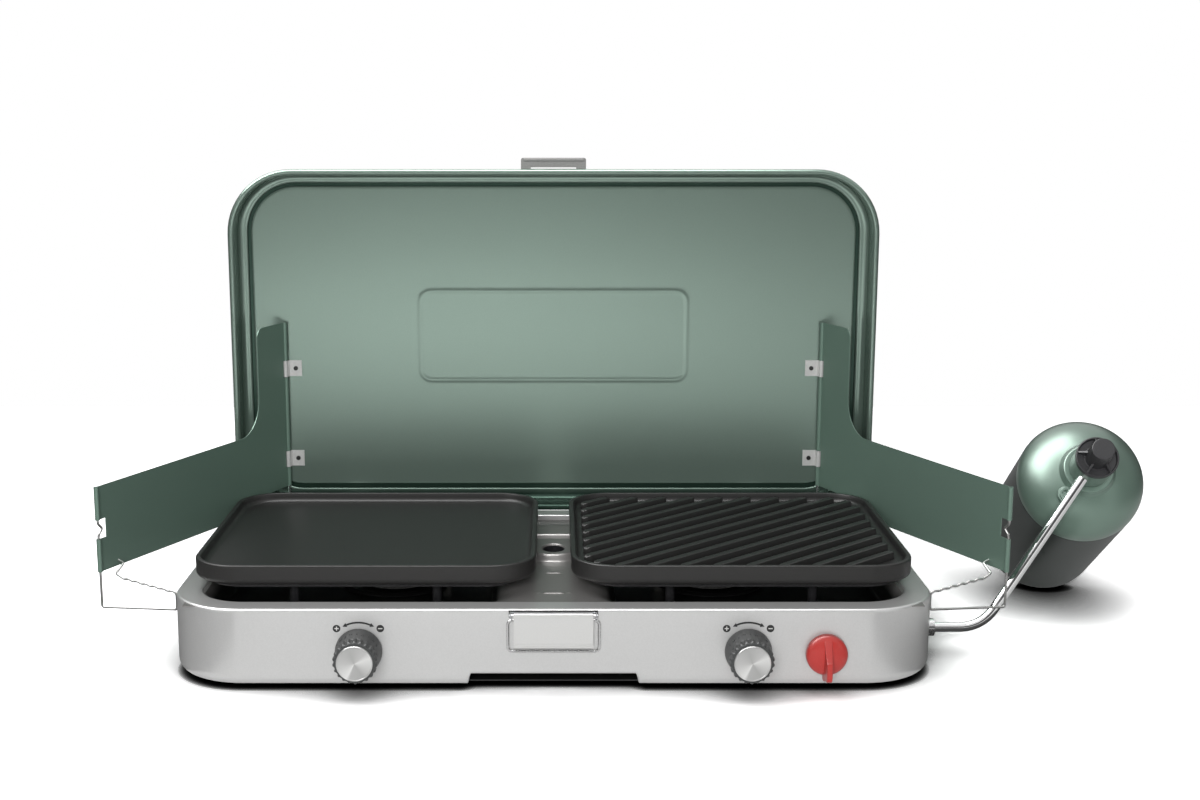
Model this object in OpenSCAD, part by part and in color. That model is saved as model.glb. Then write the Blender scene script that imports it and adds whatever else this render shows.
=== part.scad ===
// Two-burner folding camping stove with griddle, ribbed grill plate, side
// windscreens, wire stays and a gas bottle on a rigid regulator tube.
// Frame: X to the right, Y to the back, Z up. The origin is on the table,
// under the middle of the base.

/* [Base] */
// Width of the base
base_w = 630; // [600:5:660]
// Depth of the base, front to back
base_d = 332; // [320:1:345]
// Height of the rim above the table
rim_z = 68; // [64:1:74]
// Radius of the base's corners in plan
corner_r = 62; // [50:1:70]
// Width of the flat flange round the top
flange_w = 22; // [18:1:26]
// Sheet thickness of the base
sheet = 1; // [0.8:0.1:1.4]
// Height that the rubber feet lift the shell
foot_gap = 3.4; // [2.5:0.1:5]

/* [Lid] */
// Width of the lid
lid_w = 632; // [630:1:640]
// Height of the open lid, from its hinge edge to its front edge
lid_h = 333; // [325:1:345]
// Depth of the lid, from its rim to its panel
lid_depth = 30; // [24:1:36]
// Sheet thickness of the lid
lid_sheet = 0.8; // [0.6:0.1:1.2]

/* [Windscreens] */
// Length of a windscreen from its hinge rod to its front hem
wing_len = 310.3; // [300:0.1:320]
// Angle by which a windscreen stands outward from straight ahead
wing_angle = 21.8; // [18:0.1:24]
// Distance of each hinge rod from the middle
wing_x = 268; // [264:1:272]
// Sheet thickness of a windscreen
wing_sheet = 0.8; // [0.6:0.1:1]

/* [Cooking plates] */
// Width of a cooking plate
plate_w = 286.8; // [270:0.1:290]
// Depth of a cooking plate, front to back
plate_d = 262.6; // [240:0.1:266]
// Height of a cooking plate
plate_h = 17; // [15:1:20]
// Number of ridges on the grill plate
ridge_count = 17; // [15:1:17]

/* [Controls] */
// Distance of each burner knob from the middle
knob_x = 157; // [150:1:165]
// Height of the burner knobs' axes above the table
knob_z = 33.5; // [31:0.5:36]
// Length by which a burner knob stands out
knob_len = 33; // [28:1:38]
// Number of flutes on a burner knob
flute_count = 22; // [18:2:28]
// Distance of the igniter knob from the middle
igniter_x = 220; // [212:1:226]
// Height of the igniter knob's axis above the table
igniter_z = 31.4; // [29:0.2:34]

/* [Gas bottle] */
// Radius of the bottle
bottle_r = 55; // [50:1:56]
// Length of the bottle's straight wall
bottle_len = 173; // [150:1:180]
// Height of the bottle's domed shoulder
dome_h = 36; // [30:1:40]
// Distance of the bottle's axis from the middle
bottle_x = 468; // [460:1:480]
// Angle by which the bottle's neck end is raised
bottle_tilt = 30; // [28:0.5:31]
// Angle by which the bottle's neck end is turned toward the stove
bottle_yaw = 5; // [3:0.5:6]

/* [Hidden] */
$fn = 64;
eps = 0.01;
run_gap = 0.06;

shell_z0 = foot_gap;
shell_h = rim_z - shell_z0;
bottom_r = 9;
rim_r = 2.5;
front_y = -base_d / 2;
back_y = base_d / 2;
side_x = base_w / 2;
lip_w = 14;

deck_z = rim_z - sheet;
well_in = 46;
well_out = 290;
well_d = 286;
well_r = 50;
well_floor = 42.2;
well_x = (well_in + well_out) / 2;
tray_w = base_w - 24;
tray_d = base_d - 24;
boss_y = 4;
boss_r = 24;
boss_h = 5;
boss_hole_r = 10;

burner_x = 141;
burner_y = 3;
burner_r = 32;
mixer_r = 6;
mixer_mouth_r = 7.2;
spark_gap = 46;
valve_y0 = front_y + sheet + 0.4;
valve_len = 28;
stem_r = 3;
pipe_r = 4;
pipe_z = 18;
pipe_y = front_y + 24;

inlet_y = -71;
inlet_z = 22.6;
tube_r = 4.3;

slot_y = -105;
slot_w = 5;
slot_z0 = 42;
slot_z1 = 64.5;

notch_w = 136;
notch_h = 10;

hinge_y = back_y + 4;
hinge_z = rim_z - 1.5;
hinge_x = 200;
knuckle_r = 2.6;
hinge_pin_r = 1.3;

lid_r = corner_r;
lid_y = hinge_y + 2;
lid_z0 = rim_z + 2.2;
lid_zc = lid_z0 + lid_h / 2;
lid_roll_r = 2.3;
lid_panel_y = lid_y + lid_depth;
lid_wall = 2 * lid_roll_r;

rod_y = lid_panel_y - 5;
rod_r = 1.5;
rod_z0 = lid_z0 + 8;
rod_z1 = lid_z0 + 182;
wing_curl_r = 2.4;
wing_foot = rim_z + 18;
clip_z = [113.5, 205.5];
clip_h = 16;

hem_z0 = 77.7;
hem_z1 = 151.5;
hem_notch = [106.3, 122.8];
hem_notch_in = 10.5;
hem_r = 2.1;
wire_r = 1.1;
hook_s = wing_len - 25;
hook_z = 82;
hem_x = wing_x + wing_len * sin(wing_angle);
hem_y = rod_y - wing_len * cos(wing_angle);

plate_x = 14.7 + plate_w / 2;
plate_y = 1.3;
plate_z = rim_z + 9;
plate_r = 40;
plate_wall = 4.5;
plate_floor = 9;
plate_recess = 2;
knob_gap = 1.5;
cap_t = 1.8;
ridge_h = 6;
ridge_w = 6;
ridge_pitch = 19.1;
ridge_shift = 7;
ridge_angle = 44.3;

grate_bar = 6;
grate_w = 262;
grate_d = 240;
grate_top = plate_z + plate_recess;

latch_x = 32;
pin_y = front_y - 3.3;
pin_z = rim_z - 4.3;
pin_r = 1.2;
loop_x = 36.9;
loop_top = rim_z - 8.4;
loop_bottom = rim_z - 34.5;
loop_y = front_y - 1.8;
loop_r = 1.15;

tilt = 90 - bottle_tilt;
foot_r = 15;
shoulder_z = foot_r + (bottle_r - foot_r) * sin(tilt) + bottle_len * cos(tilt);
shoulder_y = -4.5;
neck_r = 11.5;
sleeve_r = 17.5;
sleeve_z0 = dome_h + 5;
sleeve_z1 = 66;
neck_in = 8;
relief_x = 20;
relief_y = 23;
grip_r = 18.1;

// Corner of the regulator tube and the point on the bottle's axis it aims at
tube_corner = [370, inlet_y, inlet_z];
tube_aim_h = 58;
tube_end = [bottle_x - tube_aim_h * sin(tilt) * sin(bottle_yaw),
            shoulder_y - tube_aim_h * sin(tilt) * cos(bottle_yaw),
            shoulder_z + tube_aim_h * cos(tilt)];
tube_dir = tube_end - tube_corner;
tube_len = norm(tube_dir);
tube_bend = 16;

base_shell();
base_floor();
feet();
burner_tray();
tray_post();
tray_screw();
burner(-1);  // burner_left
burner(1);  // burner_right
burner_cap(-1);  // burner_cap_left
burner_cap(1);  // burner_cap_right
mixer_tube(-1);  // mixer_tube_left
mixer_tube(1);  // mixer_tube_right
valve(-1);  // valve_left
valve(1);  // valve_right
manifold_pipe();
inlet_socket();
igniter_module();
electrode(-1);  // electrode_left
electrode(1);  // electrode_right
spark_lead(-1);  // spark_lead_left
spark_lead(1);  // spark_lead_right
latch_bracket();
latch_pin();
base_hinge_leaves();
hinge_pins();
base_rivets();
lid_shell();
lid_catch();
lid_hinge_leaves();
wing_clips();
wing_rods();
lid_rivets();
wing_left();
wing_right();
stay_left();
stay_right();
grate(-1);  // grate_left
grate(1);  // grate_right
griddle_plate();
grill_plate();
knob(-1);  // knob_left
knob(1);  // knob_right
knob_cap(-1);  // knob_cap_left
knob_cap(1);  // knob_cap_right
stem(-1);  // stem_left
stem(1);  // stem_right
igniter_knob();
igniter_shaft();
latch_lever();
latch_loop();
regulator_tube();
regulator_body();
regulator_grip();
bottle_shell();
bottle_neck();
relief_valve();

// ---- Shared shapes ----

// Rounded rectangle with true corner arcs
module round_rect(w, d, r) {
  square([w - 2 * r, d], center = true);
  square([w, d - 2 * r], center = true);
  for (x = [-1, 1], y = [-1, 1])
    translate([x * (w / 2 - r), y * (d / 2 - r)])
      circle(r);
}

// Plain rectangle from one corner to the other
module span(x0, x1, z0, z1) {
  translate([x0, z0])
    square([x1 - x0, z1 - z0]);
}

// Rectangle whose two outer corners are rounded, low by r_low and high by r_high
module edge_block(x0, x1, z0, z1, r_low, r_high) {
  difference() {
    span(x0, x1, z0, z1);
    difference() {
      span(x1 - r_low, x1 + 1, z0 - 1, z0 + r_low);
      translate([x1 - r_low, z0 + r_low])
        circle(r_low);
    }
    difference() {
      span(x1 - r_high, x1 + 1, z1 - r_high, z1 + 1);
      translate([x1 - r_high, z1 - r_high])
        circle(r_high);
    }
  }
}

// Carries a section round a rounded rectangle; the section's x is the
// distance outward from the centre of each corner's arc
module sweep_round(w, d, r) {
  for (k = [0 : 3]) {
    a = k % 2 == 0 ? w : d;
    b = k % 2 == 0 ? d : w;
    rotate(90 * k)
      translate([a / 2 - r, b / 2 - r, 0]) {
        rotate_extrude(angle = 90)
          children();
        rotate([90, 0, 0])
          linear_extrude(b - 2 * r)
            children();
      }
  }
}

// Points of a path whose corners are rounded, starting r away from each corner
function rounded(p, r, n = 4) = concat([p[0]],
  [for (i = [1 : len(p) - 2])
     let (a = p[i - 1] - p[i], b = p[i + 1] - p[i],
          c = min(r, norm(a) / 2.1, norm(b) / 2.1),
          q0 = p[i] + a / norm(a) * c, q1 = p[i] + b / norm(b) * c)
     for (k = [0 : n])
       let (t = k / n) (1 - t) * (1 - t) * q0 + 2 * t * (1 - t) * p[i] + t * t * q1],
  [p[len(p) - 1]]);

function unit(v) = v / norm(v);

// Direction of a path at each of its points
function tangents(p) = [for (i = [0 : len(p) - 1])
  unit(p[min(i + 1, len(p) - 1)] - p[max(i - 1, 0)])];

// Carries a sideways direction u along a path with as little twist as can be
function carried(t, u, i = 0) = i == len(t) ? []
  : let (w = unit(u - (u * t[i]) * t[i])) concat([w], carried(t, w, i + 1));

// Round wire of radius r along a path; u is any direction that isn't its first one
module wire(p, r, u, sides = 8) {
  t = tangents(p);
  w = carried(t, u);
  ring = [for (i = [0 : len(p) - 1], k = [0 : sides - 1])
    let (a = 360 * k / sides)
    p[i] + r * (cos(a) * w[i] + sin(a) * cross(t[i], w[i]))];
  walls = [for (i = [0 : len(p) - 2], k = [0 : sides - 1])
    let (m = (k + 1) % sides, a = i * sides)
    each [[a + k, a + sides + k, a + m], [a + m, a + sides + k, a + sides + m]]];
  last = (len(p) - 1) * sides;
  polyhedron(ring, concat(walls, [[for (k = [0 : sides - 1]) k]],
                          [[for (k = [sides - 1 : -1 : 0]) last + k]]));
}

// Cylinder along +Y from y0 to y1
module along_y(x, z, y0, y1, r) {
  translate([x, y0, z])
    rotate([-90, 0, 0])
      cylinder(h = y1 - y0, r = r);
}

// Cylinder along +X from x0 to x1
module along_x(y, z, x0, x1, r) {
  translate([x0, y, z])
    rotate([0, 90, 0])
      cylinder(h = x1 - x0, r = r);
}

// ---- Base ----

module base_section() {
  intersection() {
    difference() {
      edge_block(0, corner_r, shell_z0, rim_z, bottom_r, rim_r);
      edge_block(-1, corner_r - sheet, shell_z0 + sheet, rim_z - sheet,
                 bottom_r - sheet, rim_r - sheet);
    }
    union() {
      span(corner_r - flange_w, corner_r + 1, rim_z - shell_h / 2, rim_z + 1);
      span(corner_r - lip_w, corner_r + 1, 0, rim_z - shell_h / 2 + eps);
    }
  }
}

module base_shell() {
  color([0.78, 0.78, 0.77])
    difference() {
      sweep_round(base_w, base_d, corner_r)
        base_section();
      // Stepped opening in the lower front edge
      translate([0, front_y - 1, shell_z0 - 1])
        rotate([-90, 0, 0])
          linear_extrude(lip_w + 6)
            translate([0, -notch_h / 2])
              round_rect(notch_w, notch_h + 2, 4);
      for (s = [-1, 1]) {
        along_y(s * knob_x, knob_z, front_y - 1, front_y + 3, 4.2);
        translate([s * side_x, slot_y, (slot_z0 + slot_z1) / 2])
          cube([6, slot_w, slot_z1 - slot_z0], center = true);
      }
      along_y(igniter_x, igniter_z, front_y - 1, front_y + 3, 4.2);
      along_x(inlet_y, inlet_z, side_x - 4, side_x + 1, 6);
      // Window for the latch's ears
      translate([0, front_y, (pin_z + rim_z) / 2 - 2.1])
        cube([2 * latch_x + 8, 6, 5.4], center = true);
    }
}

module base_floor() {
  floor_w = base_w - 20;
  floor_d = base_d - 20;
  color([0.72, 0.72, 0.71])
    translate([0, 0, shell_z0 + sheet])
      linear_extrude(sheet)
        difference() {
          round_rect(floor_w, floor_d, corner_r - 10);
          for (x = [-220 : 40 : 220], y = [-1, 1])
            translate([x, y * 60])
              round_rect(8, 60, 3.9);
        }
}

module feet() {
  color([0.12, 0.12, 0.12])
    for (x = [-1, 1], y = [-1, 1])
      translate([x * (side_x - 47), y * (back_y - 40), 0])
        rotate_extrude()
          edge_block(0, 12, 0, shell_z0 + sheet, 1.5, 0.5);
}

// ---- Burner tray ----

module well_section() {
  difference() {
    edge_block(0, well_r + sheet, well_floor - sheet, deck_z + 9, 9, eps);
    edge_block(-1, well_r, well_floor, deck_z + 10, 8, eps);
    span(-2, well_r + 10, deck_z, deck_z + 11);
  }
}

// Opening in the deck, whose edge lies in the middle of the well's wall
module well_cut() {
  linear_extrude(20)
    round_rect(well_out - well_in + sheet, well_d + sheet, well_r + sheet / 2);
}

// One well, a sheet-metal bath with holes for the burner and its electrode
module well(s) {
  difference() {
    translate([s * well_x, 0, 0]) {
      sweep_round(well_out - well_in, well_d, well_r)
        well_section();
      translate([0, 0, well_floor - sheet / 2])
        cube([well_out - well_in - 2 * well_r, well_d - 2 * well_r, sheet], center = true);
    }
    translate([s * burner_x, burner_y, 0])
      cylinder(h = rim_z, r = 16);
    translate([electrode_x(s), burner_y, 0])
      cylinder(h = rim_z, r = 3.4);
  }
}

module burner_tray() {
  color([0.62, 0.62, 0.61]) {
    difference() {
      union() {
        translate([0, 0, deck_z - sheet])
          linear_extrude(sheet)
            round_rect(tray_w, tray_d, corner_r - 12);
        // Raised pad with the round boss at its front
        translate([0, 0, deck_z - eps])
          linear_extrude(boss_h + eps)
            union() {
              translate([0, boss_y])
                circle(boss_r);
              translate([-boss_r, boss_y])
                square([2 * boss_r, 34]);
            }
        translate([-boss_r, 50, deck_z - eps])
          cube([2 * boss_r, 34, boss_h + eps]);
      }
      for (s = [-1, 1])
        translate([s * well_x, 0, deck_z - 10])
          well_cut();
      translate([0, boss_y, 0])
        cylinder(h = rim_z + 10, r = boss_hole_r);
    }
    for (s = [-1, 1])
      well(s);
    // Cup under the boss that takes the tray screw
    translate([0, boss_y, deck_z - 6])
      difference() {
        cylinder(h = 6, r = boss_hole_r + sheet);
        translate([0, 0, sheet])
          cylinder(h = 6, r = boss_hole_r);
        translate([0, 0, -1])
          cylinder(h = 4, r = 2.4);
      }
  }
}

module tray_post() {
  color([0.72, 0.72, 0.71])
    translate([0, boss_y, shell_z0 + 2 * sheet])
      difference() {
        cylinder(h = deck_z - 6 - shell_z0 - 2 * sheet, r = 5);
        translate([0, 0, 20])
          cylinder(h = rim_z, r = 2.05);
      }
}

module tray_screw() {
  color([0.75, 0.75, 0.74])
    translate([0, boss_y, deck_z - 5])
      difference() {
        union() {
          translate([0, 0, -16])
            cylinder(h = 16, r = 2);
          cylinder(h = 2.4, r = 4);
        }
        for (a = [0, 90])
          rotate(a)
            translate([0, 0, 2.4])
              cube([4.6, 0.9, 2], center = true);
      }
}

// ---- Burners and gas parts ----

module burner(s) {
  ports = 28;
  color([0.55, 0.55, 0.54])
    translate([s * burner_x, burner_y, 0])
      difference() {
        rotate_extrude()
          difference() {
            union() {
              span(0, 15.9, well_floor - 16.6, well_floor + 3);
              span(0, burner_r, well_floor + 2, well_floor + 4);
              span(0, burner_r - 4, well_floor + 3, well_floor + 15);
            }
            span(-1, 13.5, well_floor - 14.6, well_floor + 9);
            span(-1, burner_r - 7, well_floor + 6, well_floor + 16);
          }
        for (i = [0 : ports - 1])
          rotate(i * 360 / ports)
            translate([burner_r - 8, 0, well_floor + 11])
              rotate([0, 90, 0])
                cylinder(h = 6, r = 1, $fn = 16);
        along_y(0, knob_z, -20, -8, mixer_r - 1);
      }
}

module burner_cap(s) {
  color([0.12, 0.12, 0.12])
    translate([s * burner_x, burner_y, well_floor + 15])
      rotate_extrude()
        difference() {
          edge_block(0, burner_r - 1, 0, 4, 0.5, 2.5);
          span(-1, burner_r - 14, -1, 1.5);
        }
}

// Tube from a valve's jet to its burner, drawn along +Y from the jet
module mixer_tube(s) {
  y0 = valve_y0 + valve_len + 0.5;
  run = burner_y - y0;
  offset_x = knob_x - burner_x;
  reach = sqrt(run * run + offset_x * offset_x);
  color([0.66, 0.66, 0.66])
    translate([s * knob_x, y0, knob_z])
      rotate(s * atan2(offset_x, run))
        difference() {
          union() {
            along_y(0, 0, 12, reach - 15.9, mixer_r);
            rotate([-90, 0, 0])
              cylinder(h = 14, r1 = mixer_mouth_r, r2 = mixer_r);
          }
          translate([0, -1, 0])
            rotate([-90, 0, 0])
              cylinder(h = 14, r1 = mixer_mouth_r - 0.6, r2 = mixer_r - 1);
          along_y(0, 0, 10, reach, mixer_r - 1);
          translate([0, reach, -20])
            cylinder(h = 40, r = 15.92);
          // Air windows by the valve
          translate([0, 6, 0])
            cube([30, 5, 6], center = true);
        }
}

module valve(s) {
  color([0.80, 0.66, 0.36])
    difference() {
      union() {
        along_y(s * knob_x, knob_z, valve_y0, valve_y0 + 18, 9);
        along_y(s * knob_x, knob_z, valve_y0 + 17, valve_y0 + 24, 6);
        along_y(s * knob_x, knob_z, valve_y0 + 23, valve_y0 + valve_len, 3);
        translate([s * knob_x, pipe_y, pipe_z])
          cylinder(h = knob_z - pipe_z, r = 5);
        along_x(pipe_y, pipe_z, s * knob_x - 6, s * knob_x + 6, pipe_r + 2);
      }
      along_y(s * knob_x, knob_z, valve_y0 - 1, valve_y0 + 12, stem_r + run_gap);
      along_y(s * knob_x, knob_z, valve_y0 + 10, valve_y0 + valve_len + 1, 0.8);
      along_x(pipe_y, pipe_z, s * knob_x - 7, s * knob_x + 7, pipe_r);
    }
}

module manifold_pipe() {
  color([0.76, 0.76, 0.75])
    wire(rounded([[-knob_x - 12, pipe_y, pipe_z], [256, pipe_y, pipe_z],
                  [280, pipe_y + 22, pipe_z], [280, inlet_y, inlet_z], [299.9, inlet_y, inlet_z]],
                 10), pipe_r, [0, 0, 1], 12);
}

module inlet_socket() {
  color([0.78, 0.78, 0.77])
    difference() {
      union() {
        along_x(inlet_y, inlet_z, 299.9, side_x + 2, 5.9);
        along_x(inlet_y, inlet_z, side_x - sheet - 5, side_x - sheet, 9);
        translate([side_x, inlet_y, inlet_z])
          rotate([0, 90, 0])
            cylinder(h = 6, r = 9.6, $fn = 6);
        along_x(inlet_y, inlet_z, side_x + 6, side_x + 13, 7.6);
      }
      along_x(inlet_y, inlet_z, side_x - 8, side_x + 14, tube_r + run_gap);
    }
}

module igniter_module() {
  color([0.15, 0.15, 0.16])
    difference() {
      union() {
        along_y(igniter_x, igniter_z, front_y + sheet, front_y + sheet + 4, 10);
        along_y(igniter_x, igniter_z, front_y + sheet + 3, front_y + 34, 7.5);
      }
      along_y(igniter_x, igniter_z, front_y, front_y + 16, stem_r + run_gap);
    }
}

function electrode_x(s) = s * (burner_x - spark_gap);

module electrode(s) {
  x = electrode_x(s);
  color([0.92, 0.91, 0.88]) {
    translate([x, burner_y, well_floor - 10])
      cylinder(h = 22, r = 3.2);
    translate([x, burner_y, well_floor])
      cylinder(h = 2, r = 4.6);
  }
  color([0.7, 0.7, 0.7])
    wire(rounded([[x, burner_y, well_floor + 11], [x, burner_y, well_floor + 16],
                  [x + s * 9, burner_y, well_floor + 18]], 3), 0.7, [0, 1, 0]);
}

// Each lead runs under the tray from the igniter to its electrode
module spark_lead(s) {
  x = electrode_x(s);
  y0 = front_y + 34;
  lane = s > 0 ? 0 : 6;
  start = igniter_x + s * 3;
  color([0.75, 0.2, 0.15])
    wire(rounded([[start, y0, igniter_z], [start, y0 + 12, igniter_z], [start - 8, y0 + 30 + lane, 13 + lane],
                  [x + 20, y0 + 60 + lane, 13 + lane], [x, burner_y, 16],
                  [x, burner_y, well_floor - 10]], 8), 1.3, [1, 0, 0]);
}

// ---- Latch ----

module latch_bracket() {
  color([0.7, 0.7, 0.7])
    difference() {
      union() {
        translate([-latch_x - 3.4, front_y + sheet, pin_z - 16])
          cube([2 * latch_x + 6.8, sheet, 18]);
        for (s = [-1, 1])
          translate([s * (latch_x + 2.6) - 0.6, pin_y - 2.2, pin_z - 2])
            cube([1.2, front_y + 2 * sheet - pin_y + 2.2, 4]);
      }
      along_x(pin_y, pin_z, -latch_x - 5, latch_x + 5, pin_r);
    }
}

module latch_pin() {
  color([0.8, 0.8, 0.8])
    along_x(pin_y, pin_z, -latch_x - 3.6, latch_x + 3.6, pin_r);
}

module latch_lever() {
  color([0.80, 0.80, 0.79])
    difference() {
      union() {
        along_x(pin_y, pin_z, -latch_x, latch_x, 2.1);
        translate([-latch_x, pin_y - 2, rim_z - 29.5])
          cube([2 * latch_x, 1, pin_z - rim_z + 29.5]);
        along_x(pin_y - 1.1, rim_z - 29.5, -latch_x, latch_x, 1.8);
        for (s = [-1, 1])
          translate([s * 24 - 3, pin_y - 1.5, loop_top - 1.7])
            cube([6, front_y - 0.2 - pin_y + 1.5, 3.4]);
      }
      along_x(pin_y, pin_z, -latch_x - 1, latch_x + 1, pin_r + run_gap);
      along_x(loop_y, loop_top, -latch_x - 1, latch_x + 1, loop_r + run_gap);
    }
}

module latch_loop() {
  c = 4;
  color([0.82, 0.82, 0.81])
    translate([0, loop_y, (loop_top + loop_bottom) / 2])
      rotate([90, 0, 0])
        sweep_round(2 * loop_x, loop_top - loop_bottom, c)
          translate([c, 0])
            circle(loop_r);
}

// ---- Lid and its hinges ----

module base_hinge_leaves() {
  color([0.6, 0.6, 0.6])
    for (s = [-1, 1])
      translate([s * hinge_x, 0, 0])
        difference() {
          union() {
            translate([-25, back_y, rim_z - 24])
              cube([50, 1.2, 18]);
            for (x = [-25, 10])
              translate([x, 0, 0]) {
                along_x(hinge_y, hinge_z, 0, 15, knuckle_r);
                translate([0, back_y, hinge_z - knuckle_r - 2])
                  cube([15, hinge_y - back_y, knuckle_r + 2]);
              }
          }
          along_x(hinge_y, hinge_z, -30, 30, hinge_pin_r);
        }
}

module hinge_pins() {
  color([0.75, 0.75, 0.75])
    for (s = [-1, 1])
      along_x(hinge_y, hinge_z, s * hinge_x - 26, s * hinge_x + 26, hinge_pin_r);
}

module base_rivets() {
  color([0.7, 0.7, 0.7])
    for (s = [-1, 1], x = [-14, 14])
      along_y(s * hinge_x + x, rim_z - 17, back_y + 1.2, back_y + 2.4, 2.4);
}

// The lid's section: rolled rim, straight wall, flat border and pressed bead
module lid_section() {
  wall_out = lid_r - lid_wall + lid_sheet;
  bead = [44, 49.5];
  bead_depth = 3.2;
  difference() {
    union() {
      translate([lid_r - lid_roll_r, lid_roll_r])
        circle(lid_roll_r);
      edge_block(0, wall_out, 0, lid_depth + lid_sheet, eps, 6);
      span(bead[0] - lid_sheet, bead[1] + lid_sheet, lid_depth, lid_depth + bead_depth + lid_sheet);
    }
    edge_block(-1, wall_out - lid_sheet, -1, lid_depth, eps, 6 - lid_sheet);
    span(bead[0], bead[1], lid_depth - 1, lid_depth + bead_depth);
  }
}

module place_lid() {
  translate([0, lid_y, lid_zc])
    rotate([-90, 0, 0])
      children();
}

module lid_shell() {
  frame_w = 268;
  frame_h = 92;
  color([0.45, 0.56, 0.50])
    place_lid() {
      sweep_round(lid_w, lid_h, lid_r)
        lid_section();
      translate([0, 0, lid_depth + lid_sheet / 2])
        cube([lid_w - 2 * lid_r, lid_h - 2 * lid_r, lid_sheet], center = true);
      // Plain embossed frame in the middle of the panel
      translate([0, -1.5, lid_depth - 0.5])
        linear_extrude(0.6)
          difference() {
            round_rect(frame_w, frame_h, 12);
            round_rect(frame_w - 5, frame_h - 5, 9.5);
          }
    }
}

module lid_catch() {
  top = lid_z0 + lid_h;
  wall = top - lid_wall + lid_sheet;
  color([0.76, 0.76, 0.75])
    difference() {
      union() {
        translate([-31.5, lid_y + 6, wall])
          cube([63, 14, 1.2]);
        translate([0, lid_y + 7.2, 0])
          rotate([90, 0, 0])
            linear_extrude(1.2)
              translate([0, (wall + top + 11.5) / 2])
                round_rect(63, top + 11.5 - wall, 2.2);
        along_x(lid_y + 5.4, top + 9.7, -29, 29, 1.5);
      }
      translate([-22, lid_y, top + 1])
        cube([44, 12, 1.4]);
    }
}

module lid_hinge_leaves() {
  wall = lid_z0 + lid_wall - lid_sheet;
  color([0.6, 0.6, 0.6])
    for (s = [-1, 1])
      translate([s * hinge_x, 0, 0])
        difference() {
          union() {
            along_x(hinge_y, hinge_z, -9.8, 9.8, knuckle_r);
            translate([-9.8, 0, 0])
              rotate([90, 0, 90])
                linear_extrude(19.6)
                  polygon([[hinge_y, hinge_z + 1.3], [hinge_y, hinge_z + knuckle_r],
                           [lid_y + 5.6, hinge_z + knuckle_r], [lid_y + 5.6, wall],
                           [lid_y + 20, wall], [lid_y + 20, wall - 1.2],
                           [lid_y + 6.8, wall - 1.2], [lid_y + 6.8, hinge_z + 1.3]]);
          }
          along_x(hinge_y, hinge_z, -30, 30, hinge_pin_r + run_gap);
        }
}

module wing_rods() {
  color([0.75, 0.75, 0.75])
    for (s = [-1, 1])
      translate([s * wing_x, rod_y, rod_z0])
        cylinder(h = rod_z1 - rod_z0, r = rod_r);
}

module wing_clips() {
  color([0.80, 0.80, 0.79])
    for (s = [0, 1], z = clip_z)
      mirror([s, 0, 0])
        translate([-wing_x, rod_y, z - clip_h / 2])
          linear_extrude(clip_h)
            difference() {
              union() {
                circle(wing_curl_r);
                translate([0, wing_curl_r - 1])
                  square([3, 1]);
                translate([2, wing_curl_r - 1])
                  square([1, lid_panel_y - rod_y - wing_curl_r + 1]);
                translate([2, lid_panel_y - rod_y - 1])
                  square([13.5, 1]);
              }
              circle(rod_r);
            }
}

module lid_rivets() {
  top = lid_z0 + lid_h;
  wall = lid_z0 + lid_wall - lid_sheet;
  color([0.7, 0.7, 0.7]) {
    for (s = [-1, 1], z = clip_z)
      along_y(s * (wing_x - 9.5), z, lid_panel_y - 2.2, lid_panel_y - 1, 2.2);
    for (s = [-1, 1], x = [-5, 5])
      translate([s * hinge_x + x, lid_y + 14, wall - 2.4])
        cylinder(h = 1.2, r = 2.2);
    for (x = [-22, 22])
      translate([x, lid_y + 14, top - lid_wall + lid_sheet + 1.2])
        cylinder(h = 1.2, r = 2.2);
  }
}

// ---- Windscreens and stays ----

// A windscreen drawn flat: x runs from the hinge rod to the front hem, y is height
module wing_outline() {
  strip_w = 52;
  root_z = 149.5;
  fillet = 34;
  difference() {
    union() {
      polygon([[0, wing_foot], [46, wing_foot], [52, rim_z + 4], [wing_len, hem_z0],
               [wing_len, hem_z1], [strip_w, root_z - 0.3], [0, root_z]]);
      square_from = root_z - 2;
      translate([0, square_from])
        square([strip_w, rod_z1 - square_from - 10]);
      translate([0, rod_z1 - 12])
        square([strip_w - 10, 12]);
      translate([strip_w - 10, rod_z1 - 10])
        circle(10);
      difference() {
        translate([strip_w - 1, root_z - 2])
          square([fillet + 1, fillet + 2]);
        translate([strip_w + fillet, root_z + fillet])
          circle(fillet);
      }
    }
    for (z = clip_z)
      translate([-5, z - clip_h / 2 - 0.5])
        square([10, clip_h + 1]);
    translate([wing_len - hem_notch_in, hem_notch[0]])
      square([hem_notch_in + 5, hem_notch[1] - hem_notch[0]]);
    translate([hook_s, hook_z])
      circle(1.7);
  }
}

module wing_panel() {
  difference() {
    union() {
      rotate([90, 0, 0])
        translate([0, 0, -wing_sheet / 2])
          linear_extrude(wing_sheet)
            wing_outline();
      difference() {
        translate([0, 0, wing_foot])
          cylinder(h = rod_z1 - wing_foot, r = wing_curl_r);
        for (z = clip_z)
          translate([-5, -5, z - clip_h / 2 - 0.5])
            cube([10, 10, clip_h + 1]);
      }
      difference() {
        translate([wing_len, 0, hem_z0])
          cylinder(h = hem_z1 - hem_z0, r = hem_r);
        translate([wing_len - 5, -5, hem_notch[0]])
          cube([10, 10, hem_notch[1] - hem_notch[0]]);
      }
    }
    translate([0, 0, rim_z])
      cylinder(h = 300, r = rod_r + run_gap);
    translate([wing_len, 0, rim_z])
      cylinder(h = hem_z1 - rim_z - 4, r = wire_r + run_gap);
  }
}

module wing_right() {
  color([0.27, 0.36, 0.31])
    translate([wing_x, rod_y, 0])
      rotate(wing_angle - 90)
        wing_panel();
}

module wing_left() {
  mirror([1, 0, 0])
    wing_right();
}

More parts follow.
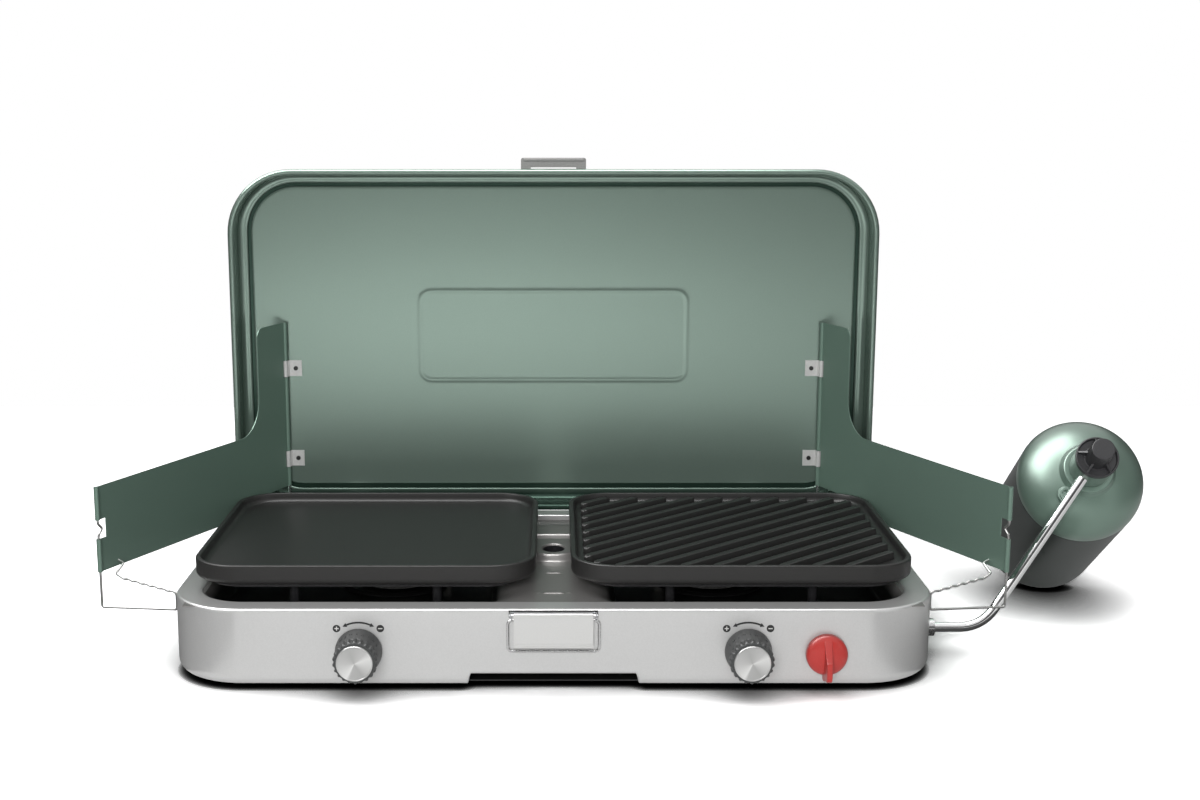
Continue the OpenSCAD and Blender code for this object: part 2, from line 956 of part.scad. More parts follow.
// The right-hand stay runs from the top of the hem, past the kink in the hem's
// notch, round the base's side slot and back to a hook in the windscreen
kink_in = 5.6;
kink = [hem_x - kink_in * sin(wing_angle), hem_y + kink_in * cos(wing_angle),
        (hem_notch[0] + hem_notch[1]) / 2];
run_end_x = side_x + wire_r + 0.3;
run_top = 63;
wave_from = [364, -88, 70.4];
wave_count = 6;
wave_up = 1.5;
hook_base = [372, -84, 74.4];
hook_foot = [368.6, -70.5, 80];
hook_tip = [374.6, -67.6, 82];

function mix(a, b, t) = a + (b - a) * t;

stay_points = concat(
  [[hem_x, hem_y, hem_z1 - 5], [hem_x, hem_y, hem_notch[1] - 3.5], kink,
   [hem_x, hem_y, hem_notch[0] + 3.5], [hem_x, hem_y, 47], [run_end_x, slot_y, 49],
   [run_end_x, slot_y, run_top]],
  [for (i = [1 : 2 * wave_count])
     mix([run_end_x, slot_y, run_top], wave_from, i / (2 * wave_count))
       + [0, 0, i % 2 == 0 ? 0 : wave_up]],
  [hook_base, hook_foot, hook_tip]
);

module stay_right() {
  color([0.72, 0.72, 0.71])
    wire(rounded(stay_points, 3, 3), wire_r, [0, 1, 0]);
}

module stay_left() {
  mirror([1, 0, 0])
    stay_right();
}

// ---- Grates and cooking plates ----

module grate(s) {
  lug = [60, grate_d / 2 - 20];
  color([0.13, 0.13, 0.13])
    translate([s * plate_x, plate_y, 0]) {
      translate([0, 0, grate_top - grate_bar])
        linear_extrude(grate_bar)
          union() {
            difference() {
              round_rect(grate_w, grate_d, 30);
              round_rect(grate_w - 2 * grate_bar, grate_d - 2 * grate_bar, 24);
            }
            for (x = [-60, 0, 60], y = [-1, 1])
              translate([x - grate_bar / 2, y > 0 ? 30 : 4 - grate_d / 2])
                square([grate_bar, grate_d / 2 - 34]);
            for (y = [-50, 0, 50], x = [-1, 1])
              translate([x > 0 ? 76 : 4 - grate_w / 2, y - grate_bar / 2])
                square([grate_w / 2 - 80, grate_bar]);
          }
      for (x = [-1, 1], y = [-1, 1])
        translate([x * lug[0], y * lug[1], well_floor])
          cylinder(h = grate_top - well_floor - 1, r = 4);
    }
}

module plate_section() {
  difference() {
    edge_block(0, plate_r, 0, plate_h, 5, 1.6);
    edge_block(-1, plate_r - plate_wall, plate_floor, plate_h + 9, eps, eps);
    span(-1, plate_r - 7, -1, plate_recess);
  }
}

module plate_tray() {
  sweep_round(plate_w, plate_d, plate_r)
    plate_section();
  translate([0, 0, (plate_recess + plate_floor) / 2])
    cube([plate_w - 2 * plate_r, plate_d - 2 * plate_r, plate_floor - plate_recess], center = true);
}

module griddle_plate() {
  color([0.17, 0.17, 0.17])
    translate([-plate_x, plate_y, plate_z])
      plate_tray();
}

module grill_plate() {
  inner_w = plate_w - 2 * plate_wall - 9;
  inner_d = plate_d - 2 * plate_wall - 9;
  color([0.17, 0.17, 0.17])
    translate([plate_x, plate_y, plate_z]) {
      plate_tray();
      translate([0, 0, plate_floor - eps])
        linear_extrude(ridge_h + eps)
          intersection() {
            round_rect(inner_w, inner_d, plate_r - plate_wall - 4.5);
            rotate(ridge_angle)
              for (i = [0 : ridge_count - 1])
                translate([0, (i - (ridge_count - 1) / 2) * ridge_pitch + ridge_shift])
                  square([500, ridge_w], center = true);
          }
    }
}

// ---- Knobs ----

module knob(s) {
  grip_base = 19;
  grip_top = knob_len - knob_gap - cap_t;
  color([0.28, 0.28, 0.28])
    translate([s * knob_x, front_y - knob_gap, knob_z])
      rotate([90, 0, 0])
        difference() {
          union() {
            rotate_extrude()
              polygon([[0, 0], [19, 0], [19, 3], [16.9, grip_base + 1], [0, grip_base + 1]]);
            translate([0, 0, grip_base])
              linear_extrude(grip_top - grip_base)
                union() {
                  circle(16.7);
                  for (i = [0 : flute_count - 1])
                    rotate(i * 360 / flute_count)
                      translate([16.6, 0])
                        circle(1.3);
                }
          }
          translate([0, 0, -1])
            cylinder(h = 20, r = stem_r);
        }
}

module knob_cap(s) {
  color([0.80, 0.80, 0.79])
    translate([s * knob_x, front_y - knob_len + cap_t, knob_z])
      rotate([90, 0, 0])
        rotate_extrude()
          edge_block(0, 14.5, 0, cap_t, 0.3, 0.9);
}

module stem(s) {
  color([0.8, 0.66, 0.36])
    along_y(s * knob_x, knob_z, front_y - 20.5, valve_y0 + 10, stem_r);
}

module igniter_knob() {
  y0 = front_y - 1.2;
  color([0.78, 0.22, 0.20])
    translate([igniter_x, y0, igniter_z])
      rotate([90, 0, 0])
        difference() {
          union() {
            rotate_extrude()
              polygon([[0, 0], [16.4, 0], [16.8, 1], [16.8, 4], [15.6, 6.4], [12.5, 8.4],
                       [8, 9.8], [0, 10.4]]);
            // Grip bar, whose lower end is the pointer
            rotate([90, 0, 90])
              translate([0, 0, -3.2])
                linear_extrude(6.4)
                  polygon([[-21.5, 3], [-21.5, 7], [-14, 20.8], [-4, 20.8], [14.5, 7], [14.5, 3]]);
          }
          translate([0, 0, -1])
            cylinder(h = 9, r = stem_r);
        }
}

module igniter_shaft() {
  color([0.7, 0.7, 0.7])
    along_y(igniter_x, igniter_z, front_y - 9, front_y + 14, stem_r);
}

// ---- Regulator and gas bottle ----

module on_bottle() {
  translate([bottle_x, shoulder_y, shoulder_z])
    rotate([tilt, 0, -bottle_yaw])
      children();
}

// Straight end of the regulator tube, let into the regulator's sleeve
module tube_tip() {
  translate(tube_corner)
    rotate([0, acos(tube_dir[2] / tube_len), atan2(tube_dir[1], tube_dir[0])])
      translate([0, 0, tube_len - 34])
        cylinder(h = 19.5, r = tube_r);
}

module regulator_tube() {
  bend_from = [336, inlet_y, inlet_z];
  bend_to = tube_corner + tube_dir * (tube_len - 32) / tube_len;
  color([0.82, 0.82, 0.82]) {
    along_x(inlet_y, inlet_z, side_x - 7, 338, tube_r);
    wire(rounded([bend_from, tube_corner, bend_to], tube_bend, 12), tube_r - 0.02, [0, 1, 0], 16);
    tube_tip();
  }
}

module regulator_body() {
  color([0.33, 0.42, 0.37])
    difference() {
      on_bottle()
        rotate_extrude()
          difference() {
            edge_block(0, sleeve_r, sleeve_z0, sleeve_z1, 1, 0.3);
            span(-1, neck_r + run_gap, sleeve_z0 - 1, sleeve_z0 + neck_in + 1);
          }
      tube_tip();
    }
}

module regulator_grip() {
  color([0.12, 0.12, 0.12])
    on_bottle() {
      rotate_extrude()
        difference() {
          union() {
            edge_block(0, grip_r, sleeve_z1, sleeve_z1 + 5, 0.5, 0.8);
            edge_block(0, 9.8, sleeve_z1 + 1, sleeve_z1 + 27, 0.3, 1);
          }
          difference() {
            span(-1, grip_r - 1.6, sleeve_z1 + 2, sleeve_z1 + 6);
            span(-2, 9.8, sleeve_z1, sleeve_z1 + 7);
          }
        }
      for (a = [20 : 72 : 340])
        rotate(a)
          translate([9, -0.9, sleeve_z1 + 1.5])
            cube([grip_r - 10, 1.8, 3.3]);
    }
}

// Quarter ellipse of the bottle's shoulder, from the wall to the neck
function dome_points(r, h) = [for (a = [0 : 5 : 80]) [r * cos(a), h * sin(a)]];

module bottle_shell() {
  wall = 1;
  color([0.40, 0.52, 0.46])
    on_bottle()
      rotate_extrude()
        difference() {
          union() {
            edge_block(0, bottle_r, -bottle_len - foot_r, eps, foot_r, eps);
            polygon(concat([[0, -eps]], dome_points(bottle_r, dome_h), [[0, dome_h * sin(80)]]));
          }
          edge_block(-1, bottle_r - wall, wall - bottle_len - foot_r, 0, foot_r - wall, eps);
          polygon(concat([[-1, -eps]], dome_points(bottle_r - wall, dome_h - wall),
                         [[-1, (dome_h - wall) * sin(80)]]));
          // Dished base
          translate([0, -bottle_len - foot_r - 60])
            circle(65);
        }
}

module bottle_neck() {
  base = dome_h * sin(80);
  color([0.45, 0.55, 0.49])
    on_bottle()
      rotate_extrude()
        difference() {
          union() {
            edge_block(0, 21, base, base + 3.5, 0.3, 1.5);
            span(0, neck_r, base, sleeve_z0 + neck_in);
          }
          span(-1, 3, base + 6, sleeve_z0 + neck_in + 1);
        }
}

module relief_valve() {
  color([0.5, 0.6, 0.54])
    on_bottle()
      translate([-relief_x, -relief_y, dome_h - 11])
        difference() {
          union() {
            cylinder(h = 13, r = 6);
            translate([0, 0, 8])
              cylinder(h = 3, r = 7.4);
          }
          translate([0, 0, 9])
            cylinder(h = 9, r = 3.6);
          translate([relief_x, relief_y, 11 - dome_h])
            rotate_extrude()
              polygon(concat([[0, 0]], dome_points(bottle_r, dome_h), [[0, dome_h * sin(80)]]));
        }
}
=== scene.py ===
"""Looks of a two-burner folding camping stove, built around its packed construction model.

Sizes are in millimetres, in the stove's own frame: X to the right, Y to the back, Z up from
the table, with the origin under the middle of the base. Meshes are made in metres."""
import math

import bmesh
import bpy
import numpy as np
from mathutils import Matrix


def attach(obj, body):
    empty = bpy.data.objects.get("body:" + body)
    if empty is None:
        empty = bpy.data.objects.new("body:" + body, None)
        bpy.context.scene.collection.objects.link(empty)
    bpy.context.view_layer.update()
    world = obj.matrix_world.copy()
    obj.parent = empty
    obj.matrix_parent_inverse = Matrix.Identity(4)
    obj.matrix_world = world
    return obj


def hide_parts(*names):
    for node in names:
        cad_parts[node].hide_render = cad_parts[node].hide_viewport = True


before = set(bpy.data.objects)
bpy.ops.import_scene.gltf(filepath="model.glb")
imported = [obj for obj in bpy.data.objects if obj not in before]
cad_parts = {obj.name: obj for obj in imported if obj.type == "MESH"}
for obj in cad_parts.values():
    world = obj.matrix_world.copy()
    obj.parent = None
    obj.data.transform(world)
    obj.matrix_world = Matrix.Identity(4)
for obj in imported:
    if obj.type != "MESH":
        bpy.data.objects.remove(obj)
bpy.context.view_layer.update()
MM = 0.001

# ---- Studio ----
# A white floor and sky. A large lamp in front gives the light and a weak one high at the back left
# softens it. Glossy paint and metal also see dark cards round the sides and two bright soft boxes.


def add(name, data):
    """A new object in the scene that holds the data."""
    thing = bpy.data.objects.new(name, data)
    bpy.context.scene.collection.objects.link(thing)
    return thing


camera = add("camera", bpy.data.cameras.new("camera"))
camera.location = (0, -1.4481, 0.4690)
camera.rotation_euler = (math.radians(78.90), 0, 0)
camera.data.lens = 49.9
camera.data.sensor_width = 36
camera.data.shift_x = 0.03875
camera.data.shift_y = 0.0224
bpy.context.scene.camera = camera
bpy.context.scene.view_settings.view_transform = "Standard"


def lamp(name, place, aim, size, power, mirrored=True):
    """A square lamp at a place, in metres, turned to face the point aim; it shows in glossy
    reflections only if mirrored."""
    light = bpy.data.lights.new(name, "AREA")
    light.size = size
    light.energy = power
    holder = add(name, light)
    holder.location = place
    holder.visible_glossy = mirrored
    way = np.array(aim) - np.array(place)
    holder.rotation_euler = (math.acos(-way[2] / np.linalg.norm(way)), 0,
                             math.atan2(way[1], way[0]) - math.pi / 2)


lamp("front_lamp", (-0.25, -2.3, 0.80), (0, 0, 0.15), 1.0, 56, mirrored=False)
lamp("back_lamp", (-1.0, 0.6, 2.1), (0, 0, 0), 1.1, 4.5)


def grey(level):
    """A grey of one level, as a colour with alpha."""
    return (level, level, level, 1)


def node(tree, kind, sockets, **settings):
    """A shader node of a kind, with its own settings. Each of its sockets, by name or number,
    is given a constant or is linked from another node's output."""
    made = tree.nodes.new("ShaderNode" + kind)
    for setting, value in settings.items():
        setattr(made, setting, value)
    for key, value in sockets.items():
        if isinstance(value, bpy.types.NodeSocket):
            tree.links.new(value, made.inputs[key])
        else:
            made.inputs[key].default_value = value
    return made


def mixed(tree, share, plain, full):
    """The colour plain at a share of 0, and full at a share of 1."""
    return node(tree, "Mix", {"Factor": share, "A": plain, "B": full},
                data_type="RGBA").outputs["Result"]


def ray_is(tree, first, *others):
    """1 for a ray of one of the named kinds, and 0 for any other."""
    path = node(tree, "LightPath", {})
    share = path.outputs[first]
    for other in others:
        share = node(tree, "Math", {0: share, 1: path.outputs[other]},
                     operation="MAXIMUM").outputs[0]
    return share


world = bpy.data.worlds.new("studio")
world.use_nodes = True
bpy.context.scene.world = world
sky = world.node_tree
sky_colour = mixed(sky, ray_is(sky, "Is Camera Ray", "Is Glossy Ray", "Is Transmission Ray"),
                   grey(0.18), grey(1))
sky.links.new(sky_colour, sky.nodes["Background"].inputs["Color"])


def stage_sheet(name, material, corner, first, second, hidden=True):
    """A flat sheet in metres, from a corner along two sides; a hidden one shows in reflections
    only."""
    corner, first, second = np.array([corner, first, second], float)
    mesh = bpy.data.meshes.new(name)
    mesh.from_pydata([list(corner), list(corner + first), list(corner + first + second),
                      list(corner + second)], [], [(0, 1, 2, 3)])
    mesh.materials.append(material)
    sheet = add(name, mesh)
    if hidden:
        sheet.visible_camera = False
        sheet.visible_shadow = False
        sheet.visible_diffuse = False


def paint(name, **sockets):
    """A new material with constants on the sockets of its shader."""
    material = bpy.data.materials.new(name)
    material.use_nodes = True
    for socket, value in sockets.items():
        shader = material.node_tree.nodes["Principled BSDF"]
        shader.inputs[socket.replace("_", " ")].default_value = value
    return material


# The camera sees the floor white, darkened only near what stands on it: a wide soft shade and a
# narrow deep one, each a power of how open the floor is within a distance in metres
floor_paint = paint("floor_paint")
floor_tree = floor_paint.node_tree
floor_tree.nodes.remove(floor_tree.nodes["Principled BSDF"])
floor_bounce, floor_mirrored, floor_seen = grey(0.7), grey(1.2), (4.6, 4.6, 4.6)
shades = []
for distance, power in ((0.075, 2.4), (0.008, 3.5)):
    open_share = node(floor_tree, "AmbientOcclusion", {"Distance": distance}).outputs["AO"]
    shades.append(node(floor_tree, "Math", {0: open_share, 1: power}, operation="POWER").outputs[0])
shade = node(floor_tree, "Math", {0: shades[0], 1: shades[1]}, operation="MULTIPLY").outputs[0]
shaded = node(floor_tree, "VectorMath", {0: floor_seen, "Scale": shade}, operation="SCALE").outputs[0]
unseen = mixed(floor_tree, ray_is(floor_tree, "Is Glossy Ray"), floor_bounce, floor_mirrored)
floor_colour = mixed(floor_tree, ray_is(floor_tree, "Is Camera Ray"), unseen, shaded)
floor_matt = node(floor_tree, "BsdfDiffuse", {"Color": floor_colour})
floor_tree.links.new(floor_matt.outputs[0], floor_tree.nodes["Material Output"].inputs["Surface"])
stage_sheet("floor", floor_paint, (-6, -12, 0), (12, 0, 0), (0, 13.1, 0), hidden=False)

card_paint = paint("card_paint", Base_Color=grey(0.05))
card_place, card_rise, low = 0.01, (0, 0, 0.89), 0.0008
stage_sheet("card_left", card_paint, (-1.2, -0.8, card_place), (0, 2.3, 0), card_rise)
stage_sheet("card_back", card_paint, (-1.2, 1.5, card_place), (2.4, 0, 0), card_rise)
stage_sheet("card_right", card_paint, (1.2, 1.5, card_place), (0, -2.3, 0), card_rise)
stage_sheet("card_front", card_paint, (-1.6, -1.9, 0.1), (3.2, 0, 0), (0, 0, 1))
stage_sheet("card_low_left", card_paint, (-0.9, -0.6, low), (0.59, 0, 0), (0, 1.5, 0))
stage_sheet("card_low_right", card_paint, (0.31, -0.5, low), (0.14, 0, 0), (0, 0.6, 0))

soft_box = paint("soft_box", Emission_Color=grey(1), Emission_Strength=10)
stage_sheet("card_above", soft_box, (-0.9, -0.5, 2), (0, 1.1, 0), (1.35, 0, 0))
stage_sheet("card_high_left", soft_box, (-1.2, -0.8, 1), (0, 1.4, 0), (0.3, 0, 1))


# ---- Base pressing ----
# One sheet of steel, deep-drawn into an open box with a flat flange round its top and a small lip
# round its bottom, and painted silver. A step is cut in the lower front edge, a slot in each side
# takes a windscreen stay, and a window in the front lets the latch's ears through.

base_w, base_d, rim_z, corner_r = 630, 332, 68, 62
front_y, side_x = -base_d / 2, base_w / 2
bottom_r, rim_r, shell_z0 = 9, 2.5, 3.4
sheet_t = 1.0


def arc(x, z, r, start, end, steps):
    """Points on a circle of radius r about (x, z), from one angle to another, in degrees."""
    a = np.radians(np.linspace(start, end, steps + 1))
    return np.column_stack([x + r * np.cos(a), z + r * np.sin(a)])


def loop_stations(w, d, r, front=(), side=(), steps=14, turns=()):
    """Stations anticlockwise round a rounded rectangle: each row is a point of the rectangle
    through the corners' centres and the outward normal there. The point stays and the normal
    turns at a corner, and the point runs on with the normal fixed along a side. front and side
    are extra places along X and Y, and turns are extra angles within each corner."""
    a, b = w / 2 - r, d / 2 - r
    front, side = np.sort(front), np.sort(side)
    corners = [(a, -b, -90), (a, b, 0), (-a, b, 90), (-a, -b, 180)]
    runs = [[(a, y) for y in side], [(x, b) for x in front[::-1]],
            [(-a, y) for y in side[::-1]], [(x, -b) for x in front]]
    rows = []
    for (x, y, start), run in zip(corners, runs):
        for turn in start + np.unique(np.r_[np.linspace(0, 90, steps + 1), turns]):
            rows.append((x, y, math.cos(math.radians(turn)), math.sin(math.radians(turn))))
        end = math.radians(start + 90)
        rows += [(px, py, math.cos(end), math.sin(end)) for px, py in run]
    return np.array(rows)


def carry(section, stations):
    """Grid of a section (distance out from the corners' centres, height) at every station."""
    reach, height = section[:, 0], section[:, 1]
    x = stations[:, 0:1] + stations[:, 2:3] * reach
    y = stations[:, 1:2] + stations[:, 3:4] * reach
    return np.stack([x, y, np.broadcast_to(height, x.shape)], axis=2)


def grid(points, around=False, across=False, keep=None):
    """Points and four-cornered faces of a grid of rows by columns, closed over its rows
    (around) or its columns (across) if asked; keep is a test of the faces' middles."""
    rows, columns = points.shape[:2]
    number = np.arange(rows * columns).reshape(rows, columns)
    if around:
        number = np.vstack([number, number[:1]])
    if across:
        number = np.hstack([number, number[:, :1]])
    faces = np.stack([number[:-1, :-1], number[1:, :-1], number[1:, 1:], number[:-1, 1:]], axis=2)
    flat, faces = points.reshape(-1, 3), faces.reshape(-1, 4)
    if keep is not None:
        faces = faces[keep(flat[faces].mean(axis=1))]
    return flat, faces.tolist()


def piece(name, parts, material, body, stands_for=(), crease=32, thickness=0, round_off=0):
    """One object from parts of (points, faces) in millimetres. Doubles are merged, the faces are
    turned outward, and edges sharper than crease degrees stay sharp. thickness is grown inward
    by Solidify, and round_off is the width of a Bevel on the sharp edges."""
    starts = np.cumsum([0] + [len(points) for points, _ in parts])
    faces = [[start + k for k in face] for start, (_, part_faces) in zip(starts, parts)
             for face in part_faces if len(set(face)) == len(face)]
    mesh = bpy.data.meshes.new(name)
    mesh.from_pydata((np.concatenate([points for points, _ in parts]) * MM).tolist(), [], faces)
    build = bmesh.new()
    build.from_mesh(mesh)
    bmesh.ops.remove_doubles(build, verts=build.verts, dist=0.004 * MM)
    bmesh.ops.dissolve_degenerate(build, edges=build.edges, dist=0.002 * MM)
    loose = [edge for edge in build.edges if not edge.link_faces]
    bmesh.ops.delete(build, geom=loose, context="EDGES")
    bmesh.ops.recalc_face_normals(build, faces=build.faces)
    build.to_mesh(mesh)
    build.free()
    mesh.materials.append(material)
    thing = add(name, mesh)
    if thickness:
        wall = thing.modifiers.new("wall", "SOLIDIFY")
        wall.thickness = thickness * MM
        wall.offset = -1
        shaped = thing.evaluated_get(bpy.context.evaluated_depsgraph_get())
        mesh = bpy.data.meshes.new_from_object(shaped)
        thing.modifiers.clear()
        thing.data = mesh
    mesh.polygons.foreach_set("use_smooth", [True] * len(mesh.polygons))
    mesh.set_sharp_from_angle(angle=math.radians(crease))
    even = thing.modifiers.new("even_shading", "WEIGHTED_NORMAL")
    even.keep_sharp = True
    if round_off:
        edge = thing.modifiers.new("edge", "BEVEL")
        edge.width = round_off * MM
        edge.segments = 2
        edge.limit_method = "ANGLE"
        edge.angle_limit = math.radians(40)
    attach(thing, body)
    if stands_for:
        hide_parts(*stands_for)
    return thing


def finish(name, colour, roughness, metallic=0.0, grain=400, spread=0.06, rough_spread=0.06,
           bump=0.02, **sockets):
    """A finish whose fine noise, on Object coordinates, shifts the colour by the share spread,
    shifts the roughness by rough_spread and raises a slight bump. Other sockets are constant."""
    material = paint(name, Metallic=metallic, **sockets)
    tree = material.node_tree
    shader = tree.nodes["Principled BSDF"]
    place = node(tree, "TexCoord", {}).outputs["Object"]
    noise = node(tree, "TexNoise", {"Vector": place, "Scale": grain, "Detail": 4}).outputs["Fac"]
    tint = node(tree, "ValToRGB", {"Fac": noise}, name="tint")
    for stop, position, share in zip(tint.color_ramp.elements, (0.3, 0.7), (1 - spread, 1 + spread)):
        stop.position = position
        stop.color = [min(1, c * share) for c in colour] + [1]
    gloss = node(tree, "MapRange", {"Value": noise, "To Min": roughness - rough_spread,
                                    "To Max": roughness + rough_spread})
    relief = node(tree, "Bump", {"Height": noise, "Strength": bump, "Distance": 0.0004})
    tree.links.new(tint.outputs["Color"], shader.inputs["Base Color"])
    tree.links.new(gloss.outputs["Result"], shader.inputs["Roughness"])
    tree.links.new(relief.outputs["Normal"], shader.inputs["Normal"])
    return material


silver_paint = finish("silver_paint", (0.57, 0.57, 0.565), 0.34, metallic=0.5, grain=900,
                      spread=0.03, rough_spread=0.03, bump=0.01)

step_x, step_up, step_ramp = 66.5, 10, 3.5
wall_foot = shell_z0 + bottom_r
window_half, window_z = 36, (61.05, 67.2)
slot_y, slot_w, slot_z = -105, 5, (42, 64.5)
slot_turn = math.degrees(math.asin((slot_w / 2 - slot_y - base_d / 2 + corner_r) / corner_r))
lip_x = corner_r - 22

base_section = np.vstack([
    [(lip_x + 0.3, 62.6), (lip_x, 63.2)],
    arc(lip_x + 1.4, rim_z - 1.4, 1.4, 180, 90, 4),
    [(lip_x + 3, rim_z), (corner_r - rim_r - 1.5, rim_z)],
    arc(corner_r - rim_r, rim_z - rim_r, rim_r, 90, 0, 8),
    [(corner_r, z) for z in (slot_z[1], window_z[0], slot_z[0], 30, 20, wall_foot + 1)],
    arc(corner_r - bottom_r, wall_foot, bottom_r, 0, -90, 8),
    [(corner_r - 14, shell_z0)]])


def ease(t):
    """Runs smoothly from 0 to 1 as t does."""
    t = np.clip(t, 0, 1)
    return t * t * (3 - 2 * t)


def base_pressing():
    """The section carried round the rim. Along the front step the part below wall_foot shrinks
    to a third of its size and the wall up to the slots is squeezed, so the edge rises by
    step_up; the rise eases in over a ramp at either end."""
    ramp = np.linspace(step_x, step_x + step_ramp, 8)
    stations = loop_stations(base_w, base_d, corner_r,
                             front=np.r_[-ramp, ramp, -100, -42, -window_half, 0, window_half,
                                         42, 100],
                             side=(slot_y + slot_w / 2, 0, 60), turns=(slot_turn, 90 - slot_turn))
    points = np.array(carry(base_section, stations))
    along = ease((step_x + step_ramp - np.abs(points[..., 0])) / step_ramp)
    share = np.where(points[..., 1] < front_y + 16, along, 0)
    z, out = points[..., 2], np.broadcast_to(base_section[:, 0], share.shape)
    low = z < wall_foot
    raised_foot = shell_z0 + step_up + (wall_foot - shell_z0) / 3
    squeezed = raised_foot + (z - wall_foot) * (slot_z[0] - raised_foot) / (slot_z[0] - wall_foot)
    raised = np.where(low, shell_z0 + step_up + (z - shell_z0) / 3,
                      np.where(z > slot_z[0], z, squeezed))
    pulled = np.where(low, (corner_r - out) * 2 / 3, 0)
    points[..., 2] = z + (raised - z) * share
    points[..., 1] = points[..., 1] - pulled * share

    def is_metal(middle):
        x, y, z = np.abs(middle[:, 0]), middle[:, 1], middle[:, 2]
        window = ((x < window_half) & (y < front_y + 1)
                  & (z > window_z[0]) & (z < window_z[1]))
        slots = ((x > side_x - 1) & (abs(y - slot_y) < slot_w / 2)
                 & (z > slot_z[0]) & (z < slot_z[1]))
        return ~(window | slots)

    return grid(points, around=True, keep=is_metal)


piece("base_pressing", [base_pressing()], silver_paint, "base", ["base_shell"],
      thickness=sheet_t)


# ---- Printed knob marks ----
# A double-headed arc over each burner knob, with a plus on its left and a minus on its right, are
# printed in black on the base's front: films of ink a tenth of a millimetre thick.

knob_x, knob_z = 157, 33.5
print_t = 0.12
ink = finish("ink", (0.02, 0.02, 0.02), 0.5, spread=0.2, bump=0.0)
ink_light = finish("ink_light", (0.55, 0.55, 0.54), 0.5, spread=0.1, bump=0.0)


def capped(rings):
    """A closed solid from rings of equal length: a grid over the rings, with a flat end each."""
    rings = np.asarray(rings)
    points, faces = grid(rings, across=True)
    n, total = rings.shape[1], len(points)
    return points, faces + [list(range(n)), list(range(total - n, total))]


def film(outline, level=0):
    """A flat film on the base's front face: the outline, in X and Z, at two depths. level counts
    the films below it."""
    x, z = np.asarray(outline, float).T
    y = front_y - print_t * level
    return capped([np.column_stack([x, np.full(len(x), depth), z])
                   for depth in (y + 0.02, y - print_t)])


marks, light_marks = [], []
arrow_r, arrow_x, arrow_w, arrow_z, head_w, head_l = 24.0, 9.6, 0.75, 23.6, 1.8, 3.4
sign_x, sign_z, sign_r, bar_l, bar_w = 17.6, 18.6, 3.1, 1.7, 0.4
for x0 in (-knob_x, knob_x):
    tip = math.degrees(math.asin(arrow_x / arrow_r))
    centre_z = knob_z + arrow_z - arrow_r
    marks.append(film(np.vstack([arc(x0, centre_z, arrow_r - arrow_w, 90 - tip, 90 + tip, 16),
                                 arc(x0, centre_z, arrow_r + arrow_w, 90 + tip, 90 - tip, 16)])))
    for side in (-1, 1):
        a = math.radians(90 - side * tip)
        along = np.array([math.sin(a), -math.cos(a)]) * side
        across = np.array([math.cos(a), math.sin(a)])
        root = np.array([x0, centre_z]) + across * arrow_r
        marks.append(film([root - across * head_w, root + along * head_l, root + across * head_w]))
    for side, bars in ((-1, [(bar_l, bar_w, 1), (bar_w, bar_l, 1.2)]), (1, [(bar_l, bar_w, 1)])):
        cx, cz = x0 + side * sign_x, knob_z + sign_z
        marks.append(film(arc(cx, cz, sign_r, 0, 345, 23)))
        for w, h, level in bars:
            light_marks.append(film([(cx - w, cz - h), (cx + w, cz - h), (cx + w, cz + h),
                                     (cx - w, cz + h)], level))
piece("knob_marks", marks, ink, "base")
piece("knob_marks_light", light_marks, ink_light, "base")


# ---- Floor plate, feet and gas parts ----
# The slotted floor plate, the posts and screws, the brass valves, the pipes, the burners and the
# igniter's parts keep their construction shapes, each in its own metal, rubber or ceramic.

def dress(material, *names):
    """Gives construction nodes a material."""
    for name in names:
        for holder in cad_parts[name].material_slots:
            holder.material = material


galvanised = finish("galvanised_sheet", (0.50, 0.51, 0.52), 0.38, metallic=0.9, grain=60,
                    spread=0.18, rough_spread=0.1)
foot_rubber = finish("foot_rubber", (0.02, 0.02, 0.02), 0.75, grain=1500, spread=0.25, bump=0.2)
bright_steel = finish("bright_steel", (0.60, 0.60, 0.60), 0.26, metallic=1.0, grain=700,
                      spread=0.04, bump=0.0)
brass = finish("brass", (0.68, 0.47, 0.19), 0.28, metallic=1.0, grain=300, spread=0.12)
burner_metal = finish("burner_metal", (0.36, 0.36, 0.35), 0.48, metallic=0.85, grain=250,
                      spread=0.22, rough_spread=0.12)
cap_enamel = finish("burner_cap_enamel", (0.018, 0.018, 0.02), 0.3, grain=350, spread=0.3,
                    bump=0.15)
ceramic = finish("ceramic", (0.80, 0.78, 0.72), 0.22, grain=200, spread=0.04, Coat_Weight=0.5)
lead_sleeve = finish("lead_sleeve", (0.55, 0.05, 0.03), 0.45, grain=900, spread=0.15)
module_plastic = finish("module_plastic", (0.02, 0.02, 0.023), 0.5, grain=1200, spread=0.3,
                        bump=0.1)
grate_enamel = finish("grate_enamel", (0.014, 0.014, 0.015), 0.34, grain=420, spread=0.4,
                      bump=0.25)
steel_wire = finish("steel_wire", (0.42, 0.42, 0.41), 0.3, metallic=0.9, grain=600, spread=0.1)
dark_steel = finish("dark_steel", (0.05, 0.05, 0.05), 0.35, metallic=0.8, grain=500, spread=0.1)

